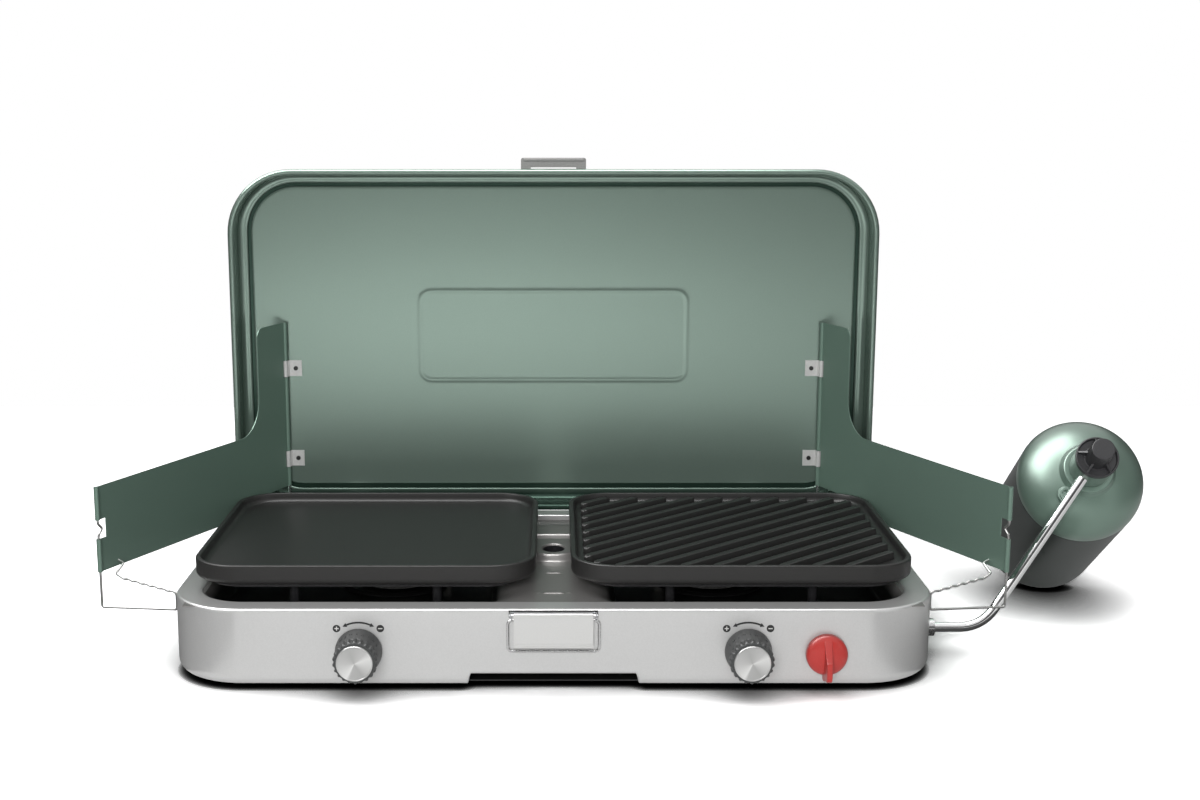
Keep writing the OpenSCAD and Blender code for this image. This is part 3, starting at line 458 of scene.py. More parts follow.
dress(galvanised, "tray_post", "latch_bracket", "base_hinge_leaves",
      "lid_hinge_leaves")
dress(foot_rubber, "feet")
dress(dark_steel, "base_floor", "tray_screw", "lid_rivets")
dress(bright_steel, "manifold_pipe", "latch_pin", "hinge_pins", "base_rivets",
      "wing_rods", "igniter_shaft")
dress(brass, "valve_left", "valve_right", "stem_left", "stem_right")
dress(burner_metal, "burner_left", "burner_right", "mixer_tube_left", "mixer_tube_right")
dress(cap_enamel, "burner_cap_left", "burner_cap_right")
dress(ceramic, "electrode_left", "electrode_right")
dress(lead_sleeve, "spark_lead_left", "spark_lead_right")
dress(module_plastic, "igniter_module")
dress(grate_enamel, "grate_left", "grate_right")


# ---- Burner tray ----
# A pressed sheet tray drops into the base: two deep wells for the burners, their colour run to near black
# with depth as painted shade under the plates, and between them a silver-grey bridge with a boss for the
# tray's screw, two raised pads and some stiffening beads.

deck_z, well_floor = 67, 42.2
well_x, well_w, well_d, well_r, shoulder_w = 168, 244, 286, 34, 22
boss_y, boss_r, boss_h, hole_r, hole_stretch = 4, 24.5, 6, 10, 1.35
pad_x, pad_half, front_pad_y, rear_pad_y = boss_r + 8, 17, 21, 67
gap_y, gap_x, gap_depth, back_y, back_drop = 44, 34, 8, 88, 4
bead_h, bead_w, front_bead_y, front_bead_x, rear_bead_y, rear_bead_x = 0.9, 1.1, -118, 9, -58, 6.5
dot_x, dot_y, dot_l = 13, -116, 1.3
ring_half, ring_steps = 15, 20


def rounded_distance(x, y, w, d, r):
    """Distance outside a rounded rectangle of w by d, negative inside."""
    qx, qy = np.abs(x) - w / 2 + r, np.abs(y) - d / 2 + r
    outside = np.hypot(np.maximum(qx, 0), np.maximum(qy, 0))
    return outside + np.minimum(np.maximum(qx, qy), 0) - r


def tray_height(x, y):
    """Height of the tray: the deck falls over a rounded shoulder into each well, stands up by
    boss_h on the boss and the two pads, drops into the gap between them and behind the rear pad,
    and carries two short beads and two dots."""
    into = -rounded_distance(np.abs(x) - well_x, y, well_w, well_d, well_r)
    soft = np.clip((into + shoulder_w) / (shoulder_w + 2), 0, 1)
    bridge = np.abs(x) < well_x
    drop = np.where(bridge, np.maximum(1 - np.sqrt(1 - soft ** 2), 0), 0)
    wall = np.where(bridge, ease((into + 1) / 9), ease(into / 7))
    fall = np.maximum(0.45 * drop, wall)
    front_pad = np.minimum(np.hypot(x, y - boss_y) - boss_r,
                           np.maximum(np.abs(x) - pad_x, np.abs(y - front_pad_y) - pad_half))
    rear_pad = np.maximum(np.abs(x) - pad_x, np.abs(y - rear_pad_y) - pad_half)
    up = boss_h * np.maximum(ease(0.5 - front_pad / 5), ease(0.5 - rear_pad / 3))
    gap = gap_depth * ease(1.5 - np.abs(y - gap_y) / 3) * (np.abs(x) < gap_x)
    behind = back_drop * ease((y - back_y) / 9)
    for bead_y, bead_x in ((rear_bead_y, rear_bead_x), (front_bead_y, front_bead_x)):
        up = up + (bead_h * np.exp(-((y - bead_y) / bead_w) ** 2)
                   * ease((bead_x - np.abs(x)) * 1.5))
    up = up + bead_h * np.exp(-((np.abs(x) - dot_x) / bead_w) ** 2 - ((y - dot_y) / dot_l) ** 2)
    well_depth = deck_z - well_floor - back_drop * (y > back_y)
    return deck_z + up - gap - behind - well_depth * fall


def lines(*runs):
    """Sorted grid lines from runs of (first, last, step)."""
    spans = [np.linspace(a, b, max(2, round((b - a) / step) + 1)) for a, b, step in runs]
    return np.unique(np.round(np.concatenate(spans), 4))


half_x = lines((ring_half, 34, 1.6), (34, 66, 2), (66, 270, 8), (270, 294, 2), (294, 301, 7))
ring_x = np.linspace(-ring_half, ring_half, ring_steps + 1)
tray_x = np.unique(np.r_[-half_x, ring_x, half_x])
tray_y = lines((-153, -146, 7), (-146, -122, 2), (-122, -114, 0.8), (-114, -61, 2.6),
               (-61, -55, 0.8), (-55, -25, 2.5), (-25, boss_y - ring_half, 1.4),
               (boss_y - ring_half, boss_y + ring_half, 1.5), (boss_y + ring_half, 100, 1.5),
               (100, 130, 4), (130, 146, 2), (146, 153, 7))
tray_grid_x, tray_grid_y = np.meshgrid(tray_x, tray_y, indexing="ij")
tray_sheet = grid(np.stack([tray_grid_x, tray_grid_y, tray_height(tray_grid_x, tray_grid_y)], 2),
                  keep=lambda m: np.maximum(np.abs(m[:, 0]), np.abs(m[:, 1] - boss_y)) > ring_half)



def hole_ring(r, z):
    """A ring at radius r, stretched front to back, z above the boss's top."""
    return np.column_stack([circle * r + (0, boss_y), np.full(len(circle), deck_z + boss_h + z)])


# The patch round the screw runs from the square gap in the sheet to the hole and down its cup
edge, far = ring_x[:-1], np.full(ring_steps, ring_half)
square = np.concatenate([np.column_stack(side) for side in
                         ((edge, -far), (far, edge), (-edge, far), (-far, -edge))])
turn = np.arctan2(square[:, 1], square[:, 0])
circle = np.column_stack([np.cos(turn), hole_stretch * np.sin(turn)])
rings = []
for share in (0, 0.3, 0.6, 1):
    flat = square * (1 - share) + circle * (hole_r + 1) * share + (0, boss_y)
    rings.append(np.column_stack([flat, tray_height(flat[:, 0], flat[:, 1])]))
rings += [hole_ring(hole_r + 0.7, -0.2), hole_ring(hole_r + 0.3, -0.8), hole_ring(hole_r, -1.6)]
boss_patch = grid(np.stack(rings), across=True)
cup = [hole_ring(hole_r, -1.6), hole_ring(hole_r - 0.2, -9), hole_ring(hole_r - 1.5, -11),
       hole_ring(0.01, -11)]


def turned(profile, centre, axis=(0, 0, 1), steps=64):
    """A profile of (radius, height along the axis) turned about an axis through centre."""
    axis = np.array(axis, float) / np.linalg.norm(axis)
    side = np.cross(axis, (0, 0, 1) if abs(axis[2]) < 0.9 else (1, 0, 0))
    side /= np.linalg.norm(side)
    other = np.cross(axis, side)
    a = np.linspace(0, 2 * np.pi, steps, endpoint=False)[:, None, None]
    radius, height = profile[None, :, 0:1], profile[None, :, 1:2]
    points = np.array(centre) + radius * (np.cos(a) * side + np.sin(a) * other) + height * axis
    return grid(points, around=True)


burner_x, burner_y, bowl_r, bead_r = 141, 3, 47, 3
bowl_ring = np.vstack([[(bowl_r - bead_r, -0.5)], arc(bowl_r, -0.4, bead_r, 165, 15, 8),
                       [(bowl_r + bead_r, -0.5), (bowl_r - bead_r, -0.5)]])
bowls = [turned(bowl_ring, (x, burner_y, well_floor)) for x in (-burner_x, burner_x)]

tray_enamel = finish("tray_enamel", (0.27, 0.262, 0.255), 0.32, metallic=0.35, grain=500,
                     spread=0.05, rough_spread=0.03, bump=0.01, Specular_IOR_Level=0.3)


def shade_along(material, dark, *spans):
    """Paints shade into the finish's colour by mixing it to dark. Each span is (axis, plain, shaded): the
    Object coordinate along that axis darkens the finish with painted shade as it runs from plain to
    shaded."""
    tree = material.node_tree
    place = node(tree, "TexCoord", {}).outputs["Object"]
    colour = tree.nodes["tint"].outputs["Color"]
    for axis, plain, shaded in spans:
        along = node(tree, "VectorMath", {0: place, 1: axis}, operation="DOT_PRODUCT")
        level = node(tree, "MapRange", {"Value": along.outputs["Value"], "From Min": plain * MM,
                                        "From Max": shaded * MM})
        colour = mixed(tree, level.outputs["Result"], colour, (*dark, 1))
    tree.links.new(colour, tree.nodes["Principled BSDF"].inputs["Base Color"])


# Painted shade: the tray's colour runs from the deck's grey to near black down into the wells
shade_along(tray_enamel, (0.008, 0.008, 0.008), ((0, 0, 1), 66.5, 55))
piece("tray_pressing", [tray_sheet, boss_patch], tray_enamel, "base",
      ["burner_tray"], crease=50, thickness=0.8)
piece("tray_bowls", bowls, tray_enamel, "base", crease=50)
# The cup under the screw hole takes the burner caps' black enamel as painted shade, so that the hole
# reads dark
piece("tray_cup", [grid(np.stack(cup), across=True)], cap_enamel, "base",
      crease=50, thickness=0.4)


# ---- Cooking plates ----
# Two cast aluminium plates with a dark non-stick coating lie on the grates: a flat griddle on the
# left, and on the right a grill whose slanting ridges end just inside the wall.

plate_w, plate_d, plate_r, plate_x, plate_y, plate_z = 286.8, 262.6, 40, 158.1, 1.3, 77
plate_top, plate_floor, plate_under, plate_seams = 94, 86, 79, (-60, 0, 60)
ridge_count, ridge_pitch, ridge_shift, ridge_turn, ridge_w, ridge_h = 17, 19.1, 7, 44.3, 9.5, 6
ridge_room = (plate_w - 24, plate_d - 20, 29)

plate_section = np.vstack([
    [(0, plate_under), (33, plate_under), (33, 77.3), (33.5, plate_z)],
    arc(35, 82, 5, -90, 0, 7),
    [(40, 84), (40, 91)],
    arc(38.4, 92.4, 1.6, 0, 90, 5),
    [(37.2, plate_top)],
    arc(36.6, 93, 1, 90, 165, 4),
    [(34.9, 91.4)],
    arc(29.6, plate_floor + 5.2, 5.2, -8, -90, 8),
    [(26, plate_floor), (12, plate_floor), (0, plate_floor)]])


def plate_casting(x0):
    """The plate's section carried round its outline, and the flat sheets that close its middle."""
    stations = loop_stations(plate_w, plate_d, plate_r, front=plate_seams, side=plate_seams)
    a, b = plate_w / 2 - plate_r, plate_d / 2 - plate_r
    gx, gy = np.meshgrid([-a, *plate_seams, a], [-b, *plate_seams, b], indexing="ij")
    parts = [grid(carry(plate_section, stations), around=True)]
    parts += [grid(np.stack([gx, gy, np.full(gx.shape, z)], 2)) for z in (plate_floor, plate_under)]
    return [(points + (x0, plate_y, 0), faces) for points, faces in parts]


def ridge(offset):
    """One ridge: a flat-topped bar along its slanting line, cut to the plate's inner outline,
    with sloping flanks and round ends. Its section is closed below the floor."""
    turn = math.radians(ridge_turn)
    along = np.array([math.cos(turn), math.sin(turn)])
    across = np.array([-math.sin(turn), math.cos(turn)])
    t = np.arange(-200, 200, 0.25)
    line = across * offset + t[:, None] * along
    inside = rounded_distance(line[:, 0], line[:, 1], *ridge_room) < 0
    first, last = t[inside][0], t[inside][-1]
    taper = np.sin(np.radians(np.linspace(0, 90, 9)))
    ends = ridge_w / 2 * (1 - np.sqrt(1 - taper ** 2))
    stops = np.concatenate([first + ends, last - ends[::-1]])
    width = np.concatenate([taper, taper[::-1]])
    section = np.vstack([[(-0.5, -1), (0.5, -1), (0.5, 0), (0.40, 0.55)],
                         arc(0.24, 0.86, 0.14, 20, 90, 4), arc(-0.24, 0.86, 0.14, 90, 160, 4),
                         [(-0.40, 0.55), (-0.5, 0)]])
    side, up = section[:, 0] * ridge_w, section[:, 1] * ridge_h
    middle = across * offset + stops[:, None] * along
    flat = middle[:, None] + (width[:, None] * side)[:, :, None] * across
    high = plate_floor + np.where(up > 0, np.sqrt(width)[:, None] * up, up)
    points = np.concatenate([flat, high[:, :, None]], axis=2) + (plate_x, plate_y, 0)
    return grid(points, across=True)


plate_coating = finish("plate_coating", (0.024, 0.0235, 0.023), 0.34, grain=1400, spread=0.15,
                       rough_spread=0.04, bump=0.04, Specular_IOR_Level=0.26)
piece("griddle_casting", plate_casting(-plate_x), plate_coating, "griddle",
      ["griddle_plate"])
ridges = [ridge((k - (ridge_count - 1) / 2) * ridge_pitch + ridge_shift)
          for k in range(ridge_count)]
piece("grill_casting", plate_casting(plate_x) + ridges, plate_coating, "grill",
      ["grill_plate"], crease=50)


# ---- Lid ----
# A shallow pressed pan with rounded corners, a rolled rim, a groove round its panel and a plain embossed
# frame in the middle, painted a satin green with a slight metallic lustre. The groove and the band along
# the lid's lower edge are darkened with painted shade.

lid_w, lid_h, lid_y, lid_depth, lid_zc = 632, 333, 172, 30, 236.7
roll_r, lid_sheet = 2.3, 0.8
wall_out = corner_r - 2 * roll_r + lid_sheet
groove, groove_depth, panel_depth = (44, 49.5), 3.2, lid_depth + 0.8
frame_w, frame_h, frame_up = 268, 92, 0.35
hinge_drop = 3.5

lid_section = np.vstack([
    arc(corner_r - roll_r, roll_r, roll_r, 200, -90, 14),
    arc(corner_r - roll_r, roll_r, roll_r, -90, -150, 4)[1:],
    [(wall_out - 0.2, 4), (wall_out, 6), (wall_out, 22)],
    arc(wall_out - 6, lid_depth - 5.2, 6, 0, 90, 8),
    [(groove[1] + 2.2, panel_depth)],
    arc(groove[1] + 0.8, lid_depth + 2.0, 1.2, -90, -170, 4),
    arc(groove[1] - 0.9, lid_depth + groove_depth - 0.4, 1.2, 0, 90, 4),
    arc(groove[0] + 0.9, lid_depth + groove_depth - 0.4, 1.2, 90, 180, 4),
    arc(groove[0] - 0.8, lid_depth + 2.0, 1.2, -10, -90, 4),
    [(reach, panel_depth) for reach in (groove[0] - 2.4, 30, 15, 0)]])


def lid_pan():
    """The lid's section carried round its outline, and the panel's middle as a grid that shares
    its outer lines and stands forward along the embossed frame. The hinge edge reaches
    hinge_drop lower than the rest of the outline, to cover the gap behind the base."""
    a, b = lid_w / 2 - corner_r, lid_h / 2 - corner_r
    half = lines((0, 100, 12), (100, 118, 6), (118, 140, 1.4), (140, a, 14))
    rise = lines((0, 28, 7), (28, 52, 1.4), (52, b, 10))
    xs, ys = np.unique(np.r_[-half, half]), np.unique(np.r_[-rise, rise])
    stations = loop_stations(lid_w, lid_h, corner_r, front=xs[1:-1], side=ys[1:-1])
    gx, gy = np.meshgrid(xs, ys, indexing="ij")
    off = np.abs(rounded_distance(gx, gy + 1.5, frame_w - 2.5, frame_h - 2.5, 11))
    depth = panel_depth - frame_up * np.exp(-(off / 1.5) ** 2)
    parts = []
    for points, faces in (grid(carry(lid_section, stations), around=True),
                          grid(np.stack([gx, gy, depth], 2))):
        z = lid_zc - points[:, 1]
        z = z - hinge_drop * ease((lid_zc - lid_h / 2 + 24 - z) / 22)
        parts.append((np.column_stack([points[:, 0], lid_y + points[:, 2], z]), faces))
    return parts


green_paint = finish("green_paint", (0.205, 0.275, 0.235), 0.25, metallic=0.65, grain=1100,
                     spread=0.03, rough_spread=0.03, bump=0.01)
# Painted shade: the green runs dark in the groove round the panel and along the lid's lower edge, where
# the plates shade it
shade_along(green_paint, (0.03, 0.06, 0.045), ((0, 1, 0), 203.1, 204.4), ((0, 0, 1), 87, 76))
piece("lid_pressing", lid_pan(), green_paint, "lid", ["lid_shell"],
      thickness=lid_sheet, crease=60)

zinc_plate = finish("zinc_plate", (0.58, 0.58, 0.57), 0.45, metallic=0.4, grain=500, spread=0.06,
                    rough_spread=0.02, bump=0.0)
dress(zinc_plate, "wing_clips")
dress(finish("catch_plate", (0.24, 0.24, 0.235), 0.5, metallic=0.1, grain=500, bump=0.0),
      "lid_catch")


# ---- Windscreens ----
# Two thin painted sheets hinge on steel rods in the lid. Each is a raked arm with a taller strip
# at its root, a curl round the rod and a rolled hem at its front, notched for the stay's kink.

wing_len, wing_turn, wing_x, rod_y = 310.3, 21.8, 268, 197
wing_t, hem_r, hem_hole_r, curl_r, rod_r = 0.8, 2.1, 1.2, 2.4, 1.5
hem_z, notch_z, notch_in, kink_in = (77.7, 151.5), (106.3, 122.8), 10.5, 5.6
strip_w, root_z, strip_top, wing_foot, fillet = 52, 149.5, 252.2, 86, 34
clip_z, clip_half = (113.5, 205.5), 8.5
lean = math.radians(wing_turn)


def screen_outline():
    """The sheet's outline, drawn flat: distance from the rod, then height."""
    cuts = []
    for z in clip_z[::-1]:
        cuts += [(0.4, z + clip_half), (5, z + clip_half), (5, z - clip_half), (0.4, z - clip_half)]
    slope = (hem_z[1] - root_z) / (wing_len - strip_w)
    return np.vstack([
        [(0.4, wing_foot), (46, wing_foot), (52, 72)],
        [(wing_len, hem_z[0]), (wing_len, notch_z[0]), (wing_len - notch_in, notch_z[0]),
         (wing_len - notch_in, notch_z[1]), (wing_len, notch_z[1]), (wing_len, hem_z[1])],
        [(strip_w + fillet, root_z + slope * fillet)],
        arc(strip_w + fillet, root_z + fillet, fillet, -90, -180, 10)[1:],
        arc(strip_w - 10, strip_top - 10, 10, 0, 90, 6),
        [(0.4, strip_top)], cuts])


def slab(outline, half, place):
    """A sheet on either side of an outline, each point carried by place."""
    return capped([[place(u, v, t) for u, v in outline] for t in (-half, half)])


def pipe_wall(x, y, z0, z1, outer, inner, steps=24):
    """An upright tube from z0 to z1 with flat ends."""
    ring = np.array([(inner, z0), (outer, z0), (outer, z1), (inner, z1), (inner, z0)])
    return turned(ring, (x, y, 0), steps=steps)


screen_paint = finish("screen_paint", (0.155, 0.235, 0.192), 0.42, metallic=0.4, grain=1100,
                      spread=0.03, rough_spread=0.03, bump=0.02)
for side, word in ((-1, "left"), (1, "right")):
    def on_screen(u, v, t):
        return (side * (wing_x + u * math.sin(lean) + t * math.cos(lean)),
                rod_y - u * math.cos(lean) + t * math.sin(lean), v)

    parts = [slab(screen_outline(), wing_t / 2, on_screen)]
    for z0, z1 in ((wing_foot, clip_z[0] - clip_half), (clip_z[0] + clip_half, clip_z[1] - clip_half),
                   (clip_z[1] + clip_half, strip_top)):
        parts.append(pipe_wall(side * wing_x, rod_y, z0, z1, curl_r, rod_r + 0.06))
    hem_x, hem_y, _ = on_screen(wing_len, 0, 0)
    for z0, z1 in ((hem_z[0], notch_z[0]), (notch_z[1], hem_z[1])):
        parts.append(pipe_wall(hem_x, hem_y, z0, z1, hem_r, hem_hole_r))
    piece(word + "_screen_sheet", parts, screen_paint, word + "_screen",
          ["wing_" + word])


# ---- Stays ----
# A spring-steel wire runs down each windscreen's hem, shows its kink in the notch, turns under
# to the slot in the base's side and comes back in small waves to hook into the sheet.

wire_r = 1.1
run_x = side_x + wire_r + 0.3
wave_start, wave_end = np.array([run_x, slot_y, 63]), np.array([364, -88, 70.4])
wave_count, wave_h = 12, 1.5


def rounded_path(corners, r, steps=6):
    """A path through corners, each rounded by a parabola that starts r away from it."""
    p = np.asarray(corners, float)
    out = [p[0]]
    for before, at, after in zip(p, p[1:], p[2:]):
        a, b = before - at, after - at
        cut = min(r, np.linalg.norm(a) / 2.1, np.linalg.norm(b) / 2.1)
        first, last = at + a / np.linalg.norm(a) * cut, at + b / np.linalg.norm(b) * cut
        for t in np.linspace(0, 1, steps + 1):
            out.append((1 - t) ** 2 * first + 2 * t * (1 - t) * at + t * t * last)
    return np.array(out + [p[-1]])


def swept(path, radius, steps=12, closed=False):
    """A round wire along a path. The section's directions are carried from ring to ring by
    removing the part along the path, and the open ends are closed to a point."""
    after, before = np.roll(path, -1, axis=0), np.roll(path, 1, axis=0)
    if not closed:
        after[-1], before[0] = path[-1], path[0]
    way = after - before
    way /= np.linalg.norm(way, axis=1)[:, None]
    side = np.cross(way[0], (0.31, 0.52, 0.79))
    sides = []
    for w in way:
        side = side - w * np.dot(side, w)
        side /= np.linalg.norm(side)
        sides.append(side)
    sides = np.array(sides)
    other = np.cross(way, sides)
    a = np.linspace(0, 2 * np.pi, steps, endpoint=False)[None, :, None]
    rings = path[:, None] + radius * (np.cos(a) * sides[:, None] + np.sin(a) * other[:, None])
    if not closed:
        rings = np.concatenate([np.repeat(path[:1, None], steps, 1), rings,
                                np.repeat(path[-1:, None], steps, 1)])
    return grid(rings, around=closed, across=True)


hem = np.array([wing_x + wing_len * math.sin(lean), rod_y - wing_len * math.cos(lean)])
kink = hem + kink_in * np.array([-math.sin(lean), math.cos(lean)])
waves = [wave_start + (wave_end - wave_start) * k / wave_count + (0, 0, wave_h * (k % 2))
         for k in range(1, wave_count + 1)]
stay_corners = [(*hem, 146.5), (*hem, notch_z[1] - 3.5), (*kink, sum(notch_z) / 2),
                (*hem, notch_z[0] + 3.5), (*hem, 47), (run_x, slot_y, 49), wave_start, *waves,
                (372, -84, 74.4), (368.6, -70.5, 80), (374.6, -67.6, 82)]
for side, word in ((-1, "left"), (1, "right")):
    route = rounded_path(np.array(stay_corners) * (side, 1, 1), 2)
    piece(word + "_stay_wire", [swept(route, wire_r)], steel_wire, word + "_stay",
          ["stay_" + word], crease=60)


# ---- Latch ----
# A stamped steel lever hangs on a pin in the front window, its lower edge rolled, and carries a
# wire loop that reaches up to the catch on the lid when the stove is closed.

latch_x, pin_y, pin_z, lever_low = 32, -169.3, 63.7, 38.5
loop_x, loop_low, loop_high, loop_y, loop_r = 36.9, 33.5, 59.6, -167.8, 1.15

lever_section = np.vstack([
    arc(pin_y, pin_z, 2.1, -100, 200, 18),
    [(pin_y - 2, pin_z - 3), (pin_y - 2, lever_low + 2.5)],
    arc(pin_y - 1.1, lever_low, 1.8, 130, 400, 16),
    [(pin_y - 1, lever_low + 2.8), (pin_y - 1, pin_z - 3)]])


def pressed_bar(section, half_w, x0=0):
    """A section in Y and Z drawn out along X about x0, its ends drawn in a little."""
    middle = section.mean(axis=0)
    return capped([np.column_stack([np.full(len(section), x0 + x), middle + (section - middle) * share])
                   for x, share in ((-half_w, 0.97), (-half_w + 0.3, 1), (half_w - 0.3, 1),
                                    (half_w, 0.97))])


ear_x, ear_half_w, ear_half_h = 24, 3, 1.7
ear = np.array([(pin_y - 1.5, loop_high + ear_half_h), (pin_y - 1.5, loop_high - ear_half_h),
                (front_y - 0.3, loop_high - ear_half_h), (front_y - 0.3, loop_high + ear_half_h)])
ears = [pressed_bar(ear, ear_half_w, s * ear_x) for s in (-1, 1)]
lever_metal = finish("lever_metal", (0.60, 0.60, 0.59), 0.30, metallic=0.45, grain=800,
                     spread=0.02, rough_spread=0.02, bump=0.0)
piece("lever_stamping", [pressed_bar(lever_section, latch_x), *ears], lever_metal, "lever",
      ["latch_lever"])
loop_corners = [(0, loop_low), (loop_x, loop_low), (loop_x, loop_high), (-loop_x, loop_high),
                (-loop_x, loop_low), (0, loop_low)]
loop_route = rounded_path([(x, loop_y, z) for x, z in loop_corners], 4.5, steps=8)[:-1]
piece("loop_wire", [swept(loop_route, loop_r, closed=True)], bright_steel, "loop",
      ["latch_loop"], crease=60)


# ---- Burner knobs ----
# Each knob is moulded in dark grey plastic: a smooth tapered skirt with embossed marks, then a toothed
# grip ring, closed by a spun aluminium cap with a bright rim. The cap's spokes of light and dark are
# painted reflections.

knob_y = front_y - 1.5
skirt_r, ring_r, ring_end, teeth, tooth_h = 19, 17.2, 29.7, 22, 0.7
cap_r, cap_t = 14.5, 1.8


def knob_moulding(x0):
    """Radius against angle and depth: a straight foot, a taper to the ring, then a ring whose
    radius rises on each tooth, a rounded shoulder and the seat of the cap."""
    profile = np.array([(skirt_r - 0.4, 0), (skirt_r, 0.5), (skirt_r, 3), (18.4, 7), (17.8, 12),
                        (17.2, 17), (16.9, 19.2), (16.5, 19.8), (16.5, 20.4), (ring_r, 21),
                        (ring_r, 24), (ring_r, 27.5), (ring_r - 0.5, 28.9),
                        (ring_r - 1.5, ring_end - 0.1), (cap_r + 0.2, ring_end), (0, ring_end)])
    a = np.linspace(0, 2 * np.pi, teeth * 8, endpoint=False)[:, None]
    radius, depth = profile[None, :, 0], profile[None, :, 1]
    on_ring = ease((depth - 20.2) / 1) * ease((ring_end - 0.4 - depth) / 1.2)
    tooth = np.clip(np.cos(a * teeth) * 1.6, -1, 1)
    radius = radius + on_ring * tooth_h * tooth
    points = np.stack([x0 + radius * np.sin(a), knob_y - depth + 0 * a,
                       knob_z + radius * np.cos(a)], 2)
    foot = np.repeat([[[x0, knob_y, knob_z]]], len(a), axis=0)
    return grid(np.concatenate([foot, points], axis=1), around=True)


def skirt_marks(x0):
    """Small raised bars on the upper side of the skirt, one or two at each of nine places, in
    three lengths."""
    parts = []
    half_w, start, radius, slope = 0.42, 9, 18.3, 0.13
    for k, turn in enumerate(np.radians(np.linspace(-62, 62, 9))):
        length = (1.6, 2.6, 3.6)[k % 3]
        for a in (turn + np.array((-0.045, 0.045) if k % 2 else (0,))):
            out, flank = np.array([math.sin(a), 0, math.cos(a)]), np.array([math.cos(a), 0, -math.sin(a)])
            parts.append(capped([[(x0, knob_y - start - step, knob_z) + out * (r + lift) + flank * w
                                  for lift, w in ((-0.4, -half_w), (-0.4, half_w), (0.35, half_w),
                                                  (0.35, -half_w))]
                                 for step, r in ((0, radius), (length, radius - slope * length))]))
    return parts


knob_plastic = finish("knob_plastic", (0.042, 0.044, 0.044), 0.46, grain=1500, spread=0.15,
                      bump=0.12)


def painted_spokes_finish(name, centre):
    """Bright metal with a few soft spokes of painted reflection, light and dark, about an axis along Y.
    """
    material = finish(name, (0.64, 0.64, 0.63), 0.3, metallic=0.45, grain=700, spread=0.03,
                      rough_spread=0.03)
    tree = material.node_tree
    place = node(tree, "TexCoord", {}).outputs["Object"]
    shift = node(tree, "Mapping", {"Vector": place,
                                   "Location": (-centre[0] * MM, 0, -centre[1] * MM)})
    split = node(tree, "SeparateXYZ", {0: shift.outputs["Vector"]}).outputs
    angle = node(tree, "Math", {0: split["Z"], 1: split["X"]}, operation="ARCTAN2").outputs[0]
    share = node(tree, "MapRange", {"Value": angle, "From Min": -math.pi, "From Max": math.pi})
    ramp = node(tree, "ValToRGB", {"Fac": share.outputs["Result"]})
    # Levels of the painted reflection at each angle round the cap
    stops = [(0.0, 0.48), (0.10, 0.60), (0.17, 0.70), (0.20, 0.42), (0.34, 0.38), (0.46, 0.54),
             (0.56, 0.66), (0.62, 0.47), (0.80, 0.38), (1.0, 0.48)]
    for k, (position, level) in enumerate(stops):
        stop = ramp.color_ramp.elements[k] if k < 2 else ramp.color_ramp.elements.new(position)
        stop.position = position
        stop.color = (level, level, level * 0.985, 1)
    tree.links.new(ramp.outputs["Color"], tree.nodes["Principled BSDF"].inputs["Base Color"])
    return material


cap_profile = np.array([(0, 0.1), (cap_r - 1.6, 0), (cap_r - 1.2, -0.05), (cap_r - 0.8, 0.35),
                        (cap_r - 0.35, 0.3), (cap_r, -0.2), (cap_r, -cap_t), (0, -cap_t)])
for x0, word in ((-knob_x, "left"), (knob_x, "right")):
    name = word + "_knob"
    piece(name + "_moulding", [knob_moulding(x0), *skirt_marks(x0)], knob_plastic, name,
          ["knob_" + word], crease=40)
    piece(name + "_cap", [turned(cap_profile, (x0, front_y - 33, knob_z), (0, -1, 0))],
          painted_spokes_finish("cap_painted_spokes_" + word, (x0, knob_z)), name, ["knob_cap_" + word],
          crease=25)


# ---- Igniter knob ----
# A domed red plastic button with a raised grip bar across it, whose lower end is the pointer.

igniter_x, igniter_z, igniter_y = 220, 31.4, front_y - 1.2
dome_r, dome_foot, dome_up = 16.8, 4, 6.4
dome_turn = np.radians(np.linspace(8, 90, 12))
dome = np.vstack([[(0, 0), (dome_r - 0.6, 0), (dome_r, 0.6), (dome_r, dome_foot)],
                  np.column_stack([dome_r * np.cos(dome_turn), dome_foot + dome_up * np.sin(dome_turn)])])
bar_half = 3.2


def grip_bar():
    """The bar's side outline, height against depth, drawn to the bar's width: its top narrows
    to four fifths, and the two rims between are drawn in to round the long edges."""
    outline = np.vstack([[(-21, 2.6), (-21.5, 4), (-21.3, 6.2)], arc(-14.6, 17.0, 3.8, 200, 100, 6),
                         arc(-4.6, 17.0, 3.8, 80, 30, 5),
                         [(3, 15.2), (9, 11.4), (14.2, 7.2), (14.5, 2.6)]])
    middle = np.array([-3.0, 8.0])
    rings = []
    for share, draw in ((-1, 0.90), (-0.93, 0.97), (-0.75, 1), (0.75, 1), (0.93, 0.97), (1, 0.90)):
        high, depth = (middle + (outline - middle) * draw).T
        taper = 1 - 0.28 * ease((depth - 8) / 14)
        rings.append(np.column_stack([igniter_x + share * bar_half * taper, igniter_y - depth,
                                      igniter_z + high]))
    return capped(rings)


red_plastic = finish("red_plastic", (0.40, 0.033, 0.028), 0.36, grain=1200, spread=0.06,
                     bump=0.05, Coat_Weight=0.15)
piece("igniter_button", [turned(dome, (igniter_x, igniter_y, igniter_z), (0, -1, 0)), grip_bar()],
      red_plastic, "igniter", ["igniter_knob"], crease=35)


# ---- Regulator ----
# The gas inlet's nut holds a rigid chrome tube that bends up to the regulator on the bottle's
# neck: a painted sleeve with a black moulded grip, whose boss and ribs show at its end.

